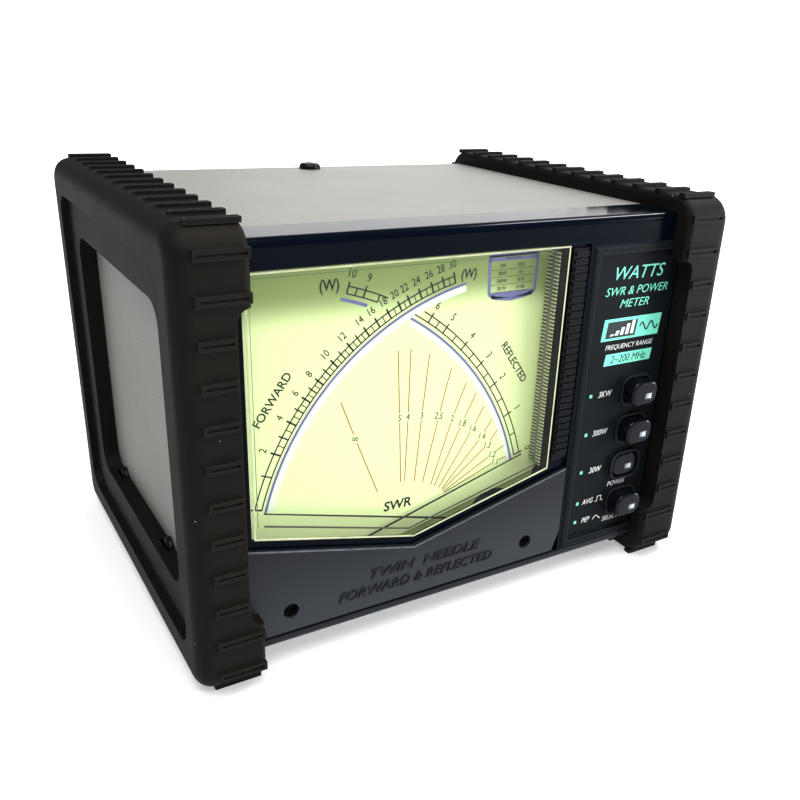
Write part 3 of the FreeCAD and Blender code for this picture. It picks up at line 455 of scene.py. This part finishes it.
# The bead is painted paler than the mask, in random patches: a painted highlight along the ledge,
# on top of its gloss.
polished = Finish("ledge_plastic", Specular_IOR_Level=0.7)
dull_tone, ledge_painted_highlight = (0.04, 0.045, 0.055), (0.16, 0.17, 0.19)
polished.set(Base_Color=polished.blend(polished.noise(0.003), dull_tone, ledge_painted_highlight))
polished.set(Roughness=0.1 + polished.noise(0.001) * 0.1)
bead("fascia_ledge", ledge, 0.28, polished)

# ---- Ribbed strip ----------------------------------------------------------------------
# A narrow column of glossy black ribs between the window and the panel, moulded in one
# piece and glued into the bezel's recess.

black_gloss = Finish("strip_black", Specular_IOR_Level=0.16)
# The ribs are near black, with a painted highlight on their edges.
rib_tone, rib_painted_highlight = (0.0022, 0.0028, 0.004), (0.09, 0.10, 0.12)
black_gloss.set(Base_Color=black_gloss.blend(black_gloss.edges(0.0002, 3.0), rib_tone, rib_painted_highlight))
black_gloss.set(Roughness=0.24 + black_gloss.noise(0.001) * 0.14)
black_gloss.on("ribbed_strip")

# ---- Push-button panel -----------------------------------------------------------------
# A charcoal plate sunk in its own raised frame. Silk-screened in mint and white: a plain
# title, two mint blocks, and the mark and name of each range beside its button.

charcoal = Finish("panel_plastic", Specular_IOR_Level=0.1)
fine = charcoal.noise(0.00035, 2)
panel_tone = charcoal.blend(charcoal.noise(0.012, 2), (0.008, 0.0108, 0.0138),
                            (0.0135, 0.0172, 0.0205))
# The frame's edges carry a painted highlight.
frame_painted_highlight = (0.10, 0.115, 0.13)
charcoal.set(Base_Color=charcoal.blend(charcoal.edges(0.0003, 3.0), panel_tone, frame_painted_highlight))
charcoal.set(Roughness=0.44 + fine * 0.14)
charcoal.bump(fine, 0.00002)
charcoal.on("control_panel")

PANEL = 7.2
INK_THICK = 0.05


def printed(name, colour):
    """Screen-printing ink: a little uneven in tone and gloss."""
    made = Finish(name)
    patchy = made.noise(0.0012, 3)
    darker = tuple(part * 0.82 for part in colour)
    made.set(Base_Color=made.blend(patchy, darker, colour), Roughness=0.42 + patchy * 0.2)
    return made


mint = printed("panel_mint", (0.24, 0.80, 0.62))
white = printed("panel_white", (0.82, 0.84, 0.82))
night = printed("panel_dark", (0.012, 0.03, 0.035))

title = Ink()
title.letters("WATTS", 50.8, 20.6, 3.5, slant=SLANT, squeeze=1.08, weight=0.01)
title.letters("SWR & POWER", 51.2, 25.5, 2.3, slant=SLANT, squeeze=1.03)
title.letters("METER", 50.8, 29.1, 2.3, slant=SLANT, squeeze=1.1)
title.patch([(40.8, 33.2), (62.3, 33.2), (61.6, 39.4), (40.1, 39.4)])
title.patch([(42.8, 43.4), (60.4, 43.4), (59.9, 46.8), (42.3, 46.8)])
RANGE_LEVELS = (55.2, 67.1, 79.1)
AVERAGE_LEVEL, PEAK_LEVEL = 89.4, 95.7
SQUARE_LEFT, SQUARE_RIGHT, SQUARE_HALF = 38.6, 39.6, 0.5
for level in (*RANGE_LEVELS, AVERAGE_LEVEL, PEAK_LEVEL):
    above, below = level - SQUARE_HALF, level + SQUARE_HALF
    title.patch([(SQUARE_LEFT, above), (SQUARE_RIGHT, above), (SQUARE_RIGHT, below),
                 (SQUARE_LEFT, below)])
title.lay("panel_mint_marks", PANEL, INK_THICK, mint, "panel_plastic")

SMALL_SLANT, SMALL_WEIGHT = 0.25, 0.005
legends = Ink()
for text, level in zip(("3KW", "300W", "30W"), RANGE_LEVELS):
    legends.letters(text, 44.2, level, 1.8, slant=SMALL_SLANT, squeeze=0.85, weight=SMALL_WEIGHT)
pulse = [(46.0, 0.8), (46.8, 0.8), (46.8, -0.8), (48.3, -0.8), (48.3, 0.8), (49.1, 0.8)]
hump = [(46.0, 0.7), (46.6, -0.1), (47.3, -0.5), (48.0, -0.1), (48.6, 0.7), (49.1, 0.7)]
for text, level, outline in (("AVG", AVERAGE_LEVEL, pulse), ("PEP", PEAK_LEVEL, hump)):
    legends.letters(text, 43.0, level, 1.7, slant=SMALL_SLANT, squeeze=0.85, weight=SMALL_WEIGHT)
    legends.stroke([(x, level + rise) for x, rise in outline], 0.3)
for text, x, level in (("POWER", 53.6, 85.3), ("SELECT", 53.2, 97.2)):
    legends.letters(text, x, level, 1.55, slant=SMALL_SLANT, squeeze=0.9, weight=SMALL_WEIGHT)
legends.letters("FREQUENCY RANGE", 51.0, 41.4, 1.4, slant=SMALL_SLANT, squeeze=0.95)
legends.lay("panel_white_marks", PANEL, INK_THICK, white, "panel_plastic")

OVERPRINT = 0.03
WAVE_LEFT, WAVE_LEVEL, WAVE_HIGH, HALF_WAVE = 54.2, 36.4, 1.1, 1.75
inset = Ink()
inset.patch([(42.2, 34.1), (53.2, 34.1), (52.6, 38.7), (41.6, 38.7)])
wave = [(WAVE_LEFT + along, WAVE_LEVEL - WAVE_HIGH * math.sin(along * math.pi / HALF_WAVE))
        for along in (step * 0.25 for step in range(29))]
inset.stroke(wave, 0.45)
inset.letters("2~200 MHz", 51.2, 45.1, 2.1, slant=SMALL_SLANT, squeeze=0.92)
inset.lay("panel_dark_marks", PANEL - INK_THICK, OVERPRINT, night, "panel_plastic")

BAR_FOOT, BAR_PITCH, BAR_STEP = 38.1, 1.9, 0.85
bars = Ink()
for index in range(5):
    x = 43.1 + index * BAR_PITCH
    high = BAR_FOOT - BAR_STEP * (index + 0.6)
    bars.patch([(x + 0.5, high), (x + 1.7, high), (x + 1.2, BAR_FOOT), (x, BAR_FOOT)])
bars.lay("panel_bar_mark", PANEL - INK_THICK - OVERPRINT, OVERPRINT, white, "panel_plastic")

# ---- Push buttons ----------------------------------------------------------------------
# Four glossy smoke-navy caps on square plungers. Each cap has a small clear window near
# one corner of its face, and slides in a raised collar of the panel.

smoke = Finish("button_plastic", Coat_Weight=0.12, Coat_Roughness=0.06, Specular_IOR_Level=0.16)
depth_tone = smoke.noise(0.004, 2)
# The caps are near black, with a painted highlight on their edges.
cap_tone, cap_painted_highlight = (0.005, 0.0065, 0.012), (0.10, 0.115, 0.14)
smoke.set(Base_Color=smoke.blend(smoke.edges(0.0006, 3.0), cap_tone, cap_painted_highlight))
smoke.set(Roughness=0.12 + depth_tone * 0.1)
BUTTONS = ("high_range", "middle_range", "low_range", "averaging")
smoke.on(*(f"button_{name}" for name in BUTTONS))

# Each window is a small patch painted dark at its left and pale at its right: a painted glint.
pane_painted_glint = Finish("button_window", Roughness=0.12, Coat_Weight=0.8)
pane_painted_glint.set(Base_Color=pane_painted_glint.blend(pane_painted_glint.axis("X").between(0.0556, 0.0581), (0.16, 0.18, 0.23),
                                 (0.72, 0.75, 0.78)))
PANE_SHIFT, PANE_HALF, PANE_TOP, PANE_FOOT, PANE_SUNK = 1.5, 1.35, 0.05, 1.75, 0.5
for name in BUTTONS:
    low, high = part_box(f"button_{name}")
    face = low.y / MM - FRONT
    middle = TOP - (low.z + high.z) / 2 / MM
    across = (low.x + high.x) / 2 / MM + PANE_SHIFT
    left, right = across - PANE_HALF, across + PANE_HALF
    pane = Ink()
    pane.patch([(left, middle + PANE_TOP), (right, middle + PANE_TOP),
                (right, middle + PANE_FOOT), (left, middle + PANE_FOOT)])
    pane.lay(f"button_pane_{name}", face + PANE_SUNK, 0.2, pane_painted_glint, "button_plastic",
             f"button_{name}")

# ---- Meter window ----------------------------------------------------------------------
# A clear acrylic moulding whose polished edges carry a painted glow in the tint of the dial. Its
# right wall is ribbed inside, in two rows painted pale and dark as painted light and shade, beside
# a grey band.

clear = Finish("window_clear", Base_Color=(1, 1, 1), Metallic=1.0)
clear.set(Roughness=0.02 + clear.noise(0.02) * 0.03)
fresnel = clear.node("ShaderNodeFresnel", None, {"IOR": 1.47})
see_through = clear.node("ShaderNodeBsdfTransparent", None, {"Color": (0.985, 1.0, 0.975)})
outside = 1 - clear.node("ShaderNodeNewGeometry", output="Backfacing")
surface = Wire(clear, clear.shader.outputs["BSDF"])
mixed = clear.node("ShaderNodeMixShader", None,
                   {0: fresnel * outside * 0.6, 1: see_through, 2: surface})
clear.feed(clear.tree.nodes["Material Output"].inputs["Surface"], mixed)
clear.on("meter_window")

WINDOW_LEFT, WINDOW_RIGHT, WINDOW_MIDDLE = -61.0, 25.8, -17.6
WINDOW_TOP, WINDOW_SHOULDER, WINDOW_POINT = 11.9, 74.7, 85.1


def window_outline(inset):
    """Corners of the window's outline, moved inwards."""
    return [(WINDOW_LEFT + inset, WINDOW_TOP + inset), (WINDOW_RIGHT - inset, WINDOW_TOP + inset),
            (WINDOW_RIGHT - inset, WINDOW_SHOULDER - inset), (WINDOW_MIDDLE, WINDOW_POINT - inset),
            (WINDOW_LEFT + inset, WINDOW_SHOULDER - inset)]


# The rim is a thin band round the window's edge that glows on its own: a painted glow and painted
# highlight, uneven in random patches.
glow = Finish("window_edge", Roughness=0.2, Emission_Strength=0.12)
uneven = glow.noise(0.004, 3)
glow.set(Base_Color=glow.blend(uneven, (0.30, 0.33, 0.18), (0.66, 0.69, 0.50)))
glow.set(Emission_Color=glow.blend(uneven, (0.30, 0.33, 0.18), (0.60, 0.62, 0.45)))
rim = Ink()
outer, inner = window_outline(0.05), window_outline(0.5)
for index in range(len(outer)):
    after = (index + 1) % len(outer)
    rim.patch([outer[index], outer[after], inner[after], inner[index]])
rim.lay("window_rim", 7.0, 0.06, glow, "window_clear")

# Inside the moulding a fine seam follows its left and upper walls, and a grey line its foot.
SEAM_THICK = 0.04
olive = printed("window_seam", (0.16, 0.18, 0.08))
seam = Ink()
line = window_outline(1.9)
seam.stroke([line[4], line[0], line[1]], 0.16)
seam.lay("window_seam_line", 9.2, SEAM_THICK, olive, "window_clear")
grey = printed("window_grey", (0.10, 0.105, 0.075))
foot = Ink()
foot.stroke([(WINDOW_LEFT + 3.6, WINDOW_SHOULDER - 1.6), (WINDOW_MIDDLE, WINDOW_POINT - 1.1),
             (WINDOW_RIGHT - 0.8, WINDOW_SHOULDER - 1.1)], 0.5)
foot.lay("window_foot_line", 9.7, SEAM_THICK, grey, "window_clear")

BOX_FACES = ((0, 1, 3, 2), (4, 6, 7, 5), (0, 4, 5, 1), (2, 3, 7, 6), (0, 2, 6, 4), (1, 5, 7, 3))


def wall_block(mesh, x, behind, down):
    """A small box on the wall between limits in mm."""
    corners = [mesh.verts.new(spot(x[i], down[k], behind[j])) for i in (0, 1) for j in (0, 1)
               for k in (0, 1)]
    for face in BOX_FACES:
        mesh.faces.new([corners[index] for index in face])


WALL_X, WALL_THICK, WALL_RIB = WINDOW_RIGHT - 1.25, 0.12, 0.4
RIB_PITCH, RIB_COUNT, FIRST_RIB = 1.0, 60, 13.9
wall = bmesh.new()
wall_block(wall, (WALL_X - WALL_THICK, WALL_X), (9.1, 13.9), (13.6, 74.4))
for index in range(RIB_COUNT):
    level = FIRST_RIB + RIB_PITCH * index
    for row in ((9.2, 10.8), (12.2, 13.8)):
        wall_block(wall, (WALL_X - WALL_RIB, WALL_X - WALL_THICK), row,
                   (level, level + RIB_PITCH / 2))
bmesh.ops.recalc_face_normals(wall, faces=wall.faces)
wall_mesh = bpy.data.meshes.new("window_rib_wall")
wall.to_mesh(wall_mesh)
wall.free()

ribbed = Finish("window_rib_wall", Roughness=0.4)
# The ribs are painted pale and dark in alternate half pitches, as painted light and shade.
down_wall = ribbed.axis("Z") % (RIB_PITCH * MM)
painted_rib_light_and_shade = ribbed.blend(down_wall > RIB_PITCH * MM / 2, (0.60, 0.62, 0.42), (0.10, 0.10, 0.07))
into_wall = ribbed.axis("Y")
grey_band = into_wall.between(-0.0524, -0.0522) * into_wall.between(-0.0510, -0.0512)
ribbed.set(Base_Color=ribbed.blend(grey_band, painted_rib_light_and_shade, (0.20, 0.19, 0.18)))
piece("window_rib_wall", wall_mesh, ribbed)

# ---- Dial ------------------------------------------------------------------------------
# A pale yellow-green plate lit from behind, its glow painted on as its own emission and painted
# darker towards its top and right as a painted shadow. It is printed with the forward and the
# reflected scale in black over violet arcs, and the fan of SWR lines in rust where needles cross.

lit = Finish("dial_print", Specular_IOR_Level=0.2, Emission_Strength=0.5)
across, height = lit.axis("X"), lit.axis("Z")
# Painted shadow: darker towards the top and the right, and a little towards the foot.
painted_shadow = across.between(0.008, 0.030) * 0.5 + height.between(0.0815, 0.0935) * 0.88
painted_shadow = (painted_shadow + height.between(0.034, 0.026) * 0.15).between(0, 1)
lit.set(Base_Color=lit.blend(painted_shadow, (0.62, 0.69, 0.41), (0.22, 0.27, 0.11)))
# The plate's own emission is a painted backlight glow, dimmed by the painted shadow.
painted_backlight_glow = lit.blend(painted_shadow, (0.31, 0.345, 0.205), (0.11, 0.135, 0.055))
# A painted pool of light: more glow near the window's V point.
painted_glow_near_point = height.between(0.040, 0.030) * across.between(-0.030, -0.005)
lit.set(Emission_Color=lit.blend(painted_glow_near_point * 0.8, painted_backlight_glow, (0.62, 0.72, 0.42)))
lit.set(Roughness=0.5 + lit.noise(0.001) * 0.15)
lit.on("dial_plate")

# The light guide glows on its own: a painted glow, uneven in random patches.
guide = Finish("light_guide", Roughness=0.3, Emission_Strength=0.15)
painted_guide_glow = guide.blend(guide.noise(0.006, 3), (0.42, 0.50, 0.16), (0.66, 0.76, 0.34))
guide.set(Base_Color=painted_guide_glow, Emission_Color=painted_guide_glow)
guide.on("light_guide")

DIAL = 14.0
FORWARD, REFLECTED = (12.9, 90.1), (-54.8, 93.0)
FORWARD_MARKS = {0: 164.7, 1: 157.8, 2: 153.2, 3: 149.8, 4: 146.7, 5: 144.0, 6: 141.6, 7: 139.5,
                 8: 137.5, 9: 135.3, 10: 133.2, 12: 128.9, 14: 124.7, 16: 122.0, 18: 119.2,
                 20: 116.6, 22: 114.4, 24: 111.8, 26: 109.0, 28: 106.4, 30: 103.8}
REFLECTED_MARKS = {0: 16.0, 1: 26.0, 2: 34.1, 3: 40.0, 4: 45.8, 5: 51.6, 6: 55.7}
REFLECTED_HIGH_MARKS = {9: 70.6, 10: 74.0}

pale = printed("dial_white", (0.84, 0.88, 0.80))
halo = Ink()
halo.arc(FORWARD, 69.4, 164.9, 101.5, 1.6)
halo.arc(REFLECTED, 74.2, 15.4, 59.2, 1.3)
halo.lay("dial_halo", DIAL, 0.02, pale, "dial_print")

violet = printed("dial_violet", (0.17, 0.18, 0.42))
arcs = Ink()
arcs.arc(FORWARD, 70.6, 165.4, 101.3, 0.62)
arcs.arc(REFLECTED, 75.3, 15.2, 59.6, 0.62)
arcs.arc(REFLECTED, 74.1, 69.3, 74.9, 0.8)
frame_corners = [(5.7, 14.6), (20.9, 14.6), (20.7, 24.6), (18.0, 25.6), (13.0, 26.2),
                 (8.2, 25.6), (6.2, 24.6)]
for index, corner in enumerate(frame_corners):
    arcs.stroke([corner, frame_corners[(index + 1) % len(frame_corners)]], 0.9)
arcs.stroke([(5.9, 15.3), (20.7, 15.3)], 1.5)
arcs.stroke([(7.0, 24.9), (20.0, 24.9)], 1.6)
arcs.lay("dial_violet_marks", DIAL, 0.035, violet, "dial_print")


def radial(ink, centre, degrees, inner, outer, wide):
    ink.stroke([polar(centre, inner, degrees), polar(centre, outer, degrees)], wide)


def label(ink, text, centre, degrees, radius, tall, squeeze=0.82):
    """A number that stands across its ray."""
    x, down = polar(centre, radius, degrees)
    ink.letters(text, x, down, tall, degrees - 90, squeeze=squeeze)


# A scale is two rails, long marks that stand out past the outer rail, and short ones.
RAIL_GAP, MARK_LONG, NUMBERS_OUT = 1.8, 2.8, 4.9
FORWARD_RAIL, REFLECTED_RAIL, HIGH_RAIL = 71.7, 76.6, 75.6
RAIL_WIDE, SHORT_WIDE, FINE_WIDE = 0.3, 0.34, 0.22
scale = Ink()
for rail, reflected_end, high_end in ((0, 59.2, 67.5), (RAIL_GAP, 57.6, 65.8)):
    scale.arc(FORWARD, FORWARD_RAIL + rail, 164.7, 103.8, RAIL_WIDE)
    scale.arc(REFLECTED, REFLECTED_RAIL + rail, 16.0, reflected_end, RAIL_WIDE)
    scale.arc(REFLECTED, HIGH_RAIL + rail, high_end, 74.0, RAIL_WIDE)
for value, degrees in FORWARD_MARKS.items():
    wide = 0.44 if value % 2 == 0 else SHORT_WIDE
    radial(scale, FORWARD, degrees, FORWARD_RAIL, FORWARD_RAIL + MARK_LONG, wide)
    if value in (2, 4, 6, 8) or value >= 10:
        label(scale, str(value), FORWARD, degrees, FORWARD_RAIL + NUMBERS_OUT, 1.9)
steps = sorted(FORWARD_MARKS)
for low, high in zip(steps, steps[1:]):
    first, last = FORWARD_MARKS[low], FORWARD_MARKS[high]
    parts = 1 if high <= 2 else 4 if 12 <= high <= 14 else 2
    for part in range(1, parts):
        degrees = first + (last - first) * part / parts
        out, wide = (MARK_LONG, SHORT_WIDE) if part == 2 else (RAIL_GAP, FINE_WIDE)
        radial(scale, FORWARD, degrees, FORWARD_RAIL, FORWARD_RAIL + out, wide)
for marks, rail in ((REFLECTED_MARKS, REFLECTED_RAIL), (REFLECTED_HIGH_MARKS, HIGH_RAIL)):
    for value, degrees in marks.items():
        radial(scale, REFLECTED, degrees, rail, rail + MARK_LONG, 0.36)
        label(scale, str(value), REFLECTED, degrees, rail + NUMBERS_OUT, 2.0)
for value in range(6):
    degrees = (REFLECTED_MARKS[value] + REFLECTED_MARKS[value + 1]) / 2
    radial(scale, REFLECTED, degrees, REFLECTED_RAIL, REFLECTED_RAIL + RAIL_GAP, RAIL_WIDE)
for degrees in (72.3, 67.6):
    radial(scale, REFLECTED, degrees, HIGH_RAIL, HIGH_RAIL + RAIL_GAP, RAIL_WIDE)
for text, centre, degrees, radius, squeeze in (("FORWARD", FORWARD, 144.6, 80.6, 0.98),
                                               ("REFLECTED", REFLECTED, 34.7, 86.3, 0.92)):
    x, down = polar(centre, radius, degrees)
    scale.letters(text, x, down, 2.1, degrees - 90, squeeze=squeeze, weight=0.03)
scale.letters("(W)", -38.3, 17.9, 2.5, squeeze=0.85, weight=0.06)
scale.letters("(W)", -0.4, 18.4, 2.3, slant=0.15, squeeze=0.85, weight=0.05)
scale.letters("SWR", -18.8, 78.5, 2.6, slant=0.1, squeeze=1.05, weight=0.07)
RANGE_ROWS = (("3W", "X0.1"), ("30W", "X1"), ("300W", "X10"), ("3KW", "X100"))
ROW_PITCH = 1.95
for index, (watts, factor) in enumerate(RANGE_ROWS):
    down = 17.3 + index * ROW_PITCH
    scale.letters(watts, 9.9, down, 1.0, squeeze=0.9)
    scale.letters(factor, 15.9, down, 1.0, squeeze=0.9)
    scale.stroke([(6.6, down + 0.95), (19.9, down + 0.95)], 0.1)
scale.letters("RANGES", 13.3, 15.3, 0.9)
ink_black = printed("dial_black", (0.006, 0.006, 0.005))
scale.lay("dial_scale_marks", DIAL, 0.05, ink_black, "dial_print")

# Each SWR line: its value, lower end, value's place and upper end.
SWR_LINES = [
    ("5", (-18.0, 72.2), (-18.9, 53.9), (-19.9, 35.9)),
    ("4", (-16.8, 72.2), (-16.4, 53.9), (-16.3, 35.8)),
    ("3", (-13.8, 72.8), (-12.3, 54.3), (-10.8, 38.0)),
    ("2.5", (-11.2, 73.7), (-7.1, 55.3), (-4.0, 42.6)),
    ("2", (-8.6, 75.1), (-2.8, 56.8), (1.0, 47.3)),
    ("1.8", (-7.5, 75.8), (0.5, 58.7), (4.3, 50.8)),
    ("1.6", (-6.0, 76.6), (4.0, 60.9), (7.2, 55.1)),
    ("1.4", (-5.0, 77.2), (7.2, 63.9), (10.3, 59.2)),
    ("1.3", (-4.8, 77.7), (9.3, 66.9), (12.4, 62.8)),
    ("1.2", (-4.4, 78.2), (11.2, 70.1), (14.9, 68.2)),
    ("1.1", (-4.1, 78.6), (12.4, 72.6), (15.9, 71.8)),
    ("∞", (-24.8, 73.6), (-31.4, 57.2), (-35.4, 46.8)),
]
GAP_FOR_VALUE = 1.3
fan, values = Ink(), Ink()
for text, low, place, high in SWR_LINES:
    for end in (low, high):
        away = Vector(end) - Vector(place)
        reach = away.normalized() * GAP_FOR_VALUE
        fan.stroke([end, (place[0] + reach.x, place[1] + reach.y)], 0.24)
    values.letters(text, *place, 1.8, turn=-4 if len(text) < 3 else -14, squeeze=0.8)
rust = printed("dial_rust", (0.40, 0.12, 0.04))
fan.lay("dial_swr_fan", DIAL, 0.04, rust, "dial_print")
brown = printed("dial_brown", (0.06, 0.05, 0.035))
values.lay("dial_swr_values", DIAL, 0.045, brown, "dial_print")

# ---- Movements -------------------------------------------------------------------------
# Two moving-coil movements under the dial's V: iron rings and magnets, copper coils on
# pivots between brass jewel screws, bronze hairsprings, black needles and slotted screws.

pointer = Finish("needle_paint")
pointer.set(Roughness=0.36 + pointer.noise(0.001) * 0.12)
pointer.set(Base_Color=pointer.blend(pointer.noise(0.003), (0.008, 0.008, 0.008),
                                     (0.018, 0.018, 0.017)))
pointer.on("needle_forward", "needle_reflected")


def metal(name, dark, pale, roughness, size=0.001):
    """Bare metal with a mottled tone, fine relief and rubbed edges."""
    made = Finish(name, Metallic=1.0)
    spread = made.noise(size, 3)
    tone = made.blend(spread, dark, pale)
    rubbed_tone = tuple(min(1, part * 1.25) for part in pale)
    made.set(Base_Color=made.blend(made.edges(0.0002, 2.0), tone, rubbed_tone))
    made.set(Roughness=roughness + spread * 0.14)
    return made.bump(spread, 0.00001)


iron = metal("soft_iron", (0.22, 0.21, 0.2), (0.38, 0.37, 0.36), 0.42)
iron.on("yoke_forward", "yoke_reflected")
magnet = metal("magnet", (0.16, 0.16, 0.17), (0.26, 0.26, 0.27), 0.5)
magnet.on("core_forward", "core_reflected")
brass = metal("brass_parts", (0.52, 0.36, 0.15), (0.74, 0.56, 0.28), 0.24)
brass.on("jewel_screws", "socket_contacts", "through_line")
# The zero screws are black, and are painted darker still as painted shade in their holes.
adjuster = Finish("adjuster_black", Specular_IOR_Level=0.04)
adjuster.set(Base_Color=adjuster.blend(adjuster.noise(0.0005), (0.002, 0.002, 0.002),
                                       (0.006, 0.006, 0.006)))
adjuster.set(Roughness=0.6 + adjuster.noise(0.0008) * 0.2)
adjuster.on("zero_screw_forward", "zero_screw_reflected")
tin = metal("steel_plated", (0.5, 0.5, 0.49), (0.68, 0.68, 0.66), 0.3)
tin.on("bridges_forward", "bridges_reflected", "interlock_bar")
bronze = metal("spring_bronze", (0.5, 0.3, 0.14), (0.72, 0.48, 0.27), 0.26)
bronze.on("hairspring_forward", "hairspring_reflected", "zero_arm_forward", "zero_arm_reflected")

winding = Finish("coil_wire", Roughness=0.3, Metallic=0.8)
turns = winding.node("ShaderNodeMath", {"operation": "SINE"}, {0: winding.axis("Y") * 40000})
winding.set(Base_Color=winding.blend(turns.between(-1, 1), (0.24, 0.08, 0.03), (0.62, 0.27, 0.12)))
winding.bump(turns, 0.00004)
winding.on("coil_forward", "coil_reflected")

# ---- Inside the case -------------------------------------------------------------------
# The black tub, the lamps, the switch bank with its board, the coupler and its leads: out
# of sight with the case closed, in the plain finishes such parts come in.


def moulded(name, colour, roughness, size=0.0005):
    """Moulded plastic with a fine even grain."""
    made = Finish(name)
    grain = made.noise(size, 2)
    made.set(Base_Color=made.blend(grain, tuple(part * 0.8 for part in colour), colour))
    made.set(Roughness=roughness + grain * 0.14)
    return made.bump(grain, 0.00002)


moulded("meter_black", (0.006, 0.006, 0.006), 0.6).on("meter_case")
moulded("switch_black", (0.016, 0.016, 0.017), 0.45).on("switch_bodies")
moulded("switch_white", (0.78, 0.77, 0.72), 0.4).on(*(f"plunger_{name}" for name in BUTTONS))
moulded("inlet_plastic", (0.012, 0.012, 0.012), 0.4).on("dc_inlet")
moulded("lead_jacket", (0.02, 0.02, 0.02), 0.5, 0.0008).on("leads")
moulded("ptfe", (0.86, 0.86, 0.83), 0.35).on("socket_insulators")
moulded("ferrite", (0.05, 0.05, 0.052), 0.6).on("toroid_core")
moulded("board_green", (0.03, 0.13, 0.06), 0.35, 0.002).on("switch_board", "coupler_board")
spring_wire = metal("spring_steel", (0.42, 0.42, 0.43), (0.62, 0.62, 0.63), 0.24)
spring_wire.on(*(f"return_spring_{name}" for name in BUTTONS))

# A released button's spring stands on its switch; each is copied into a piece of its own, in place
# of the imported spring. The latched button's spring is short already and is left as imported.
for name in BUTTONS:
    if name == "low_range":
        continue
    low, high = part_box(f"return_spring_{name}")
    wound = nodes[f"return_spring_{name}"].data.copy()
    coil = piece(f"button_spring_{name}", wound, spring_wire, smooth=True)
    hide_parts(f"return_spring_{name}")
    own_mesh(coil)

bulb = Finish("lamp_glass", Base_Color=(0.9, 0.88, 0.8), Transmission_Weight=0.6)
bulb.set(Roughness=0.05 + bulb.noise(0.002) * 0.08)
bulb.on("lamps")

# ---- Sockets at the back ---------------------------------------------------------------
# Two nickel-plated coaxial sockets: a square flange under four screws and a threaded
# barrel with two notches in its rim. Plain black letters say what each is for.

nickel = metal("nickel", (0.60, 0.58, 0.55), (0.78, 0.76, 0.72), 0.16, 0.002)
nickel.on("socket_screws")
FLANGE_BACK, RIM = 114.0, 126.5
FLANGE_THICK, FLANGE_HALF = 1.6, 12.7
THREAD_CREST, THREAD_ROOT, THREAD_PITCH = 7.9, 7.45, 0.907
RUN_OUT, BORE, NOTCH_DEEP, NOTCH_HALF = 0.7, 6.2, 1.5, 1.1
SOCKET_DOWN, SOCKET_ASIDE = 55.0, 28.0


def turned(mesh, x, down, profile, reach=None, notch=0.0):
    """Adds a closed ring to mesh: a (behind, radius) profile turned about an axis along Y.

    reach gives the radius of the profile's None points at an angle, and points near the
    rim sink where they lie within notch of the upright."""
    around = 96
    rings = []
    for step in range(around):
        angle = 2 * math.pi * step / around
        ring = []
        for behind, radius in profile:
            radius = reach(angle) if radius is None else radius
            if abs(math.cos(angle)) * radius < notch:
                behind = min(behind, RIM - NOTCH_DEEP)
            place = spot(x + radius * math.cos(angle), down - radius * math.sin(angle), behind)
            ring.append(mesh.verts.new(place))
        rings.append(ring)
    for ring, following in zip(rings, rings[1:] + rings[:1]):
        for index in range(len(profile)):
            after = (index + 1) % len(profile)
            mesh.faces.new((ring[index], following[index], following[after], ring[after]))


def flange_reach(angle):
    """Radius of a square with rounded corners at this angle."""
    power = 14
    spread = abs(math.cos(angle)) ** power + abs(math.sin(angle)) ** power
    return FLANGE_HALF / spread ** (1 / power)


flange_face = FLANGE_BACK + FLANGE_THICK
thread_start = flange_face + RUN_OUT
thread = [(FLANGE_BACK + 0.2, BORE), (FLANGE_BACK + 0.2, THREAD_ROOT), (thread_start, THREAD_ROOT)]
for turn in range(int((RIM - thread_start - RUN_OUT) / THREAD_PITCH)):
    start = thread_start + turn * THREAD_PITCH
    thread += [(start + share * THREAD_PITCH, radius) for share, radius in
               ((0.38, THREAD_CREST), (0.55, THREAD_CREST), (0.93, THREAD_ROOT))]
thread += [(RIM - 0.35, THREAD_ROOT), (RIM, THREAD_ROOT - 0.3), (RIM, BORE + 0.2),
           (RIM - 0.2, BORE)]
square = [(FLANGE_BACK, THREAD_ROOT), (FLANGE_BACK, None), (flange_face - 0.15, None),
          (flange_face, None), (flange_face, THREAD_ROOT)]
for name, x in (("transmitter", -SOCKET_ASIDE), ("antenna", SOCKET_ASIDE)):
    parts = bmesh.new()
    turned(parts, x, SOCKET_DOWN, thread, notch=NOTCH_HALF)
    turned(parts, x, SOCKET_DOWN, square, reach=flange_reach)
    bmesh.ops.recalc_face_normals(parts, faces=parts.faces)
    socket_mesh = bpy.data.meshes.new(f"coaxial_{name}")
    parts.to_mesh(socket_mesh)
    parts.free()
    socket = piece(f"coaxial_{name}", socket_mesh, nickel, smooth=True)
    socket_mesh.set_sharp_from_angle(angle=math.radians(28))
    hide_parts(f"socket_{name}")

LABEL_DOWN = 37.5
back_marks = Ink()
for text, x, down in (("TX", SOCKET_ASIDE, LABEL_DOWN), ("ANT", -SOCKET_ASIDE, LABEL_DOWN),
                      ("DC 12 V", 0.0, 80.0)):
    back_marks.letters(text, x, down, 3.2)
back_ink = printed("back_black", (0.02, 0.02, 0.022))
back_marks.lay("back_marks", FLANGE_BACK, INK_THICK, back_ink, "chassis_steel", turned_round=True)
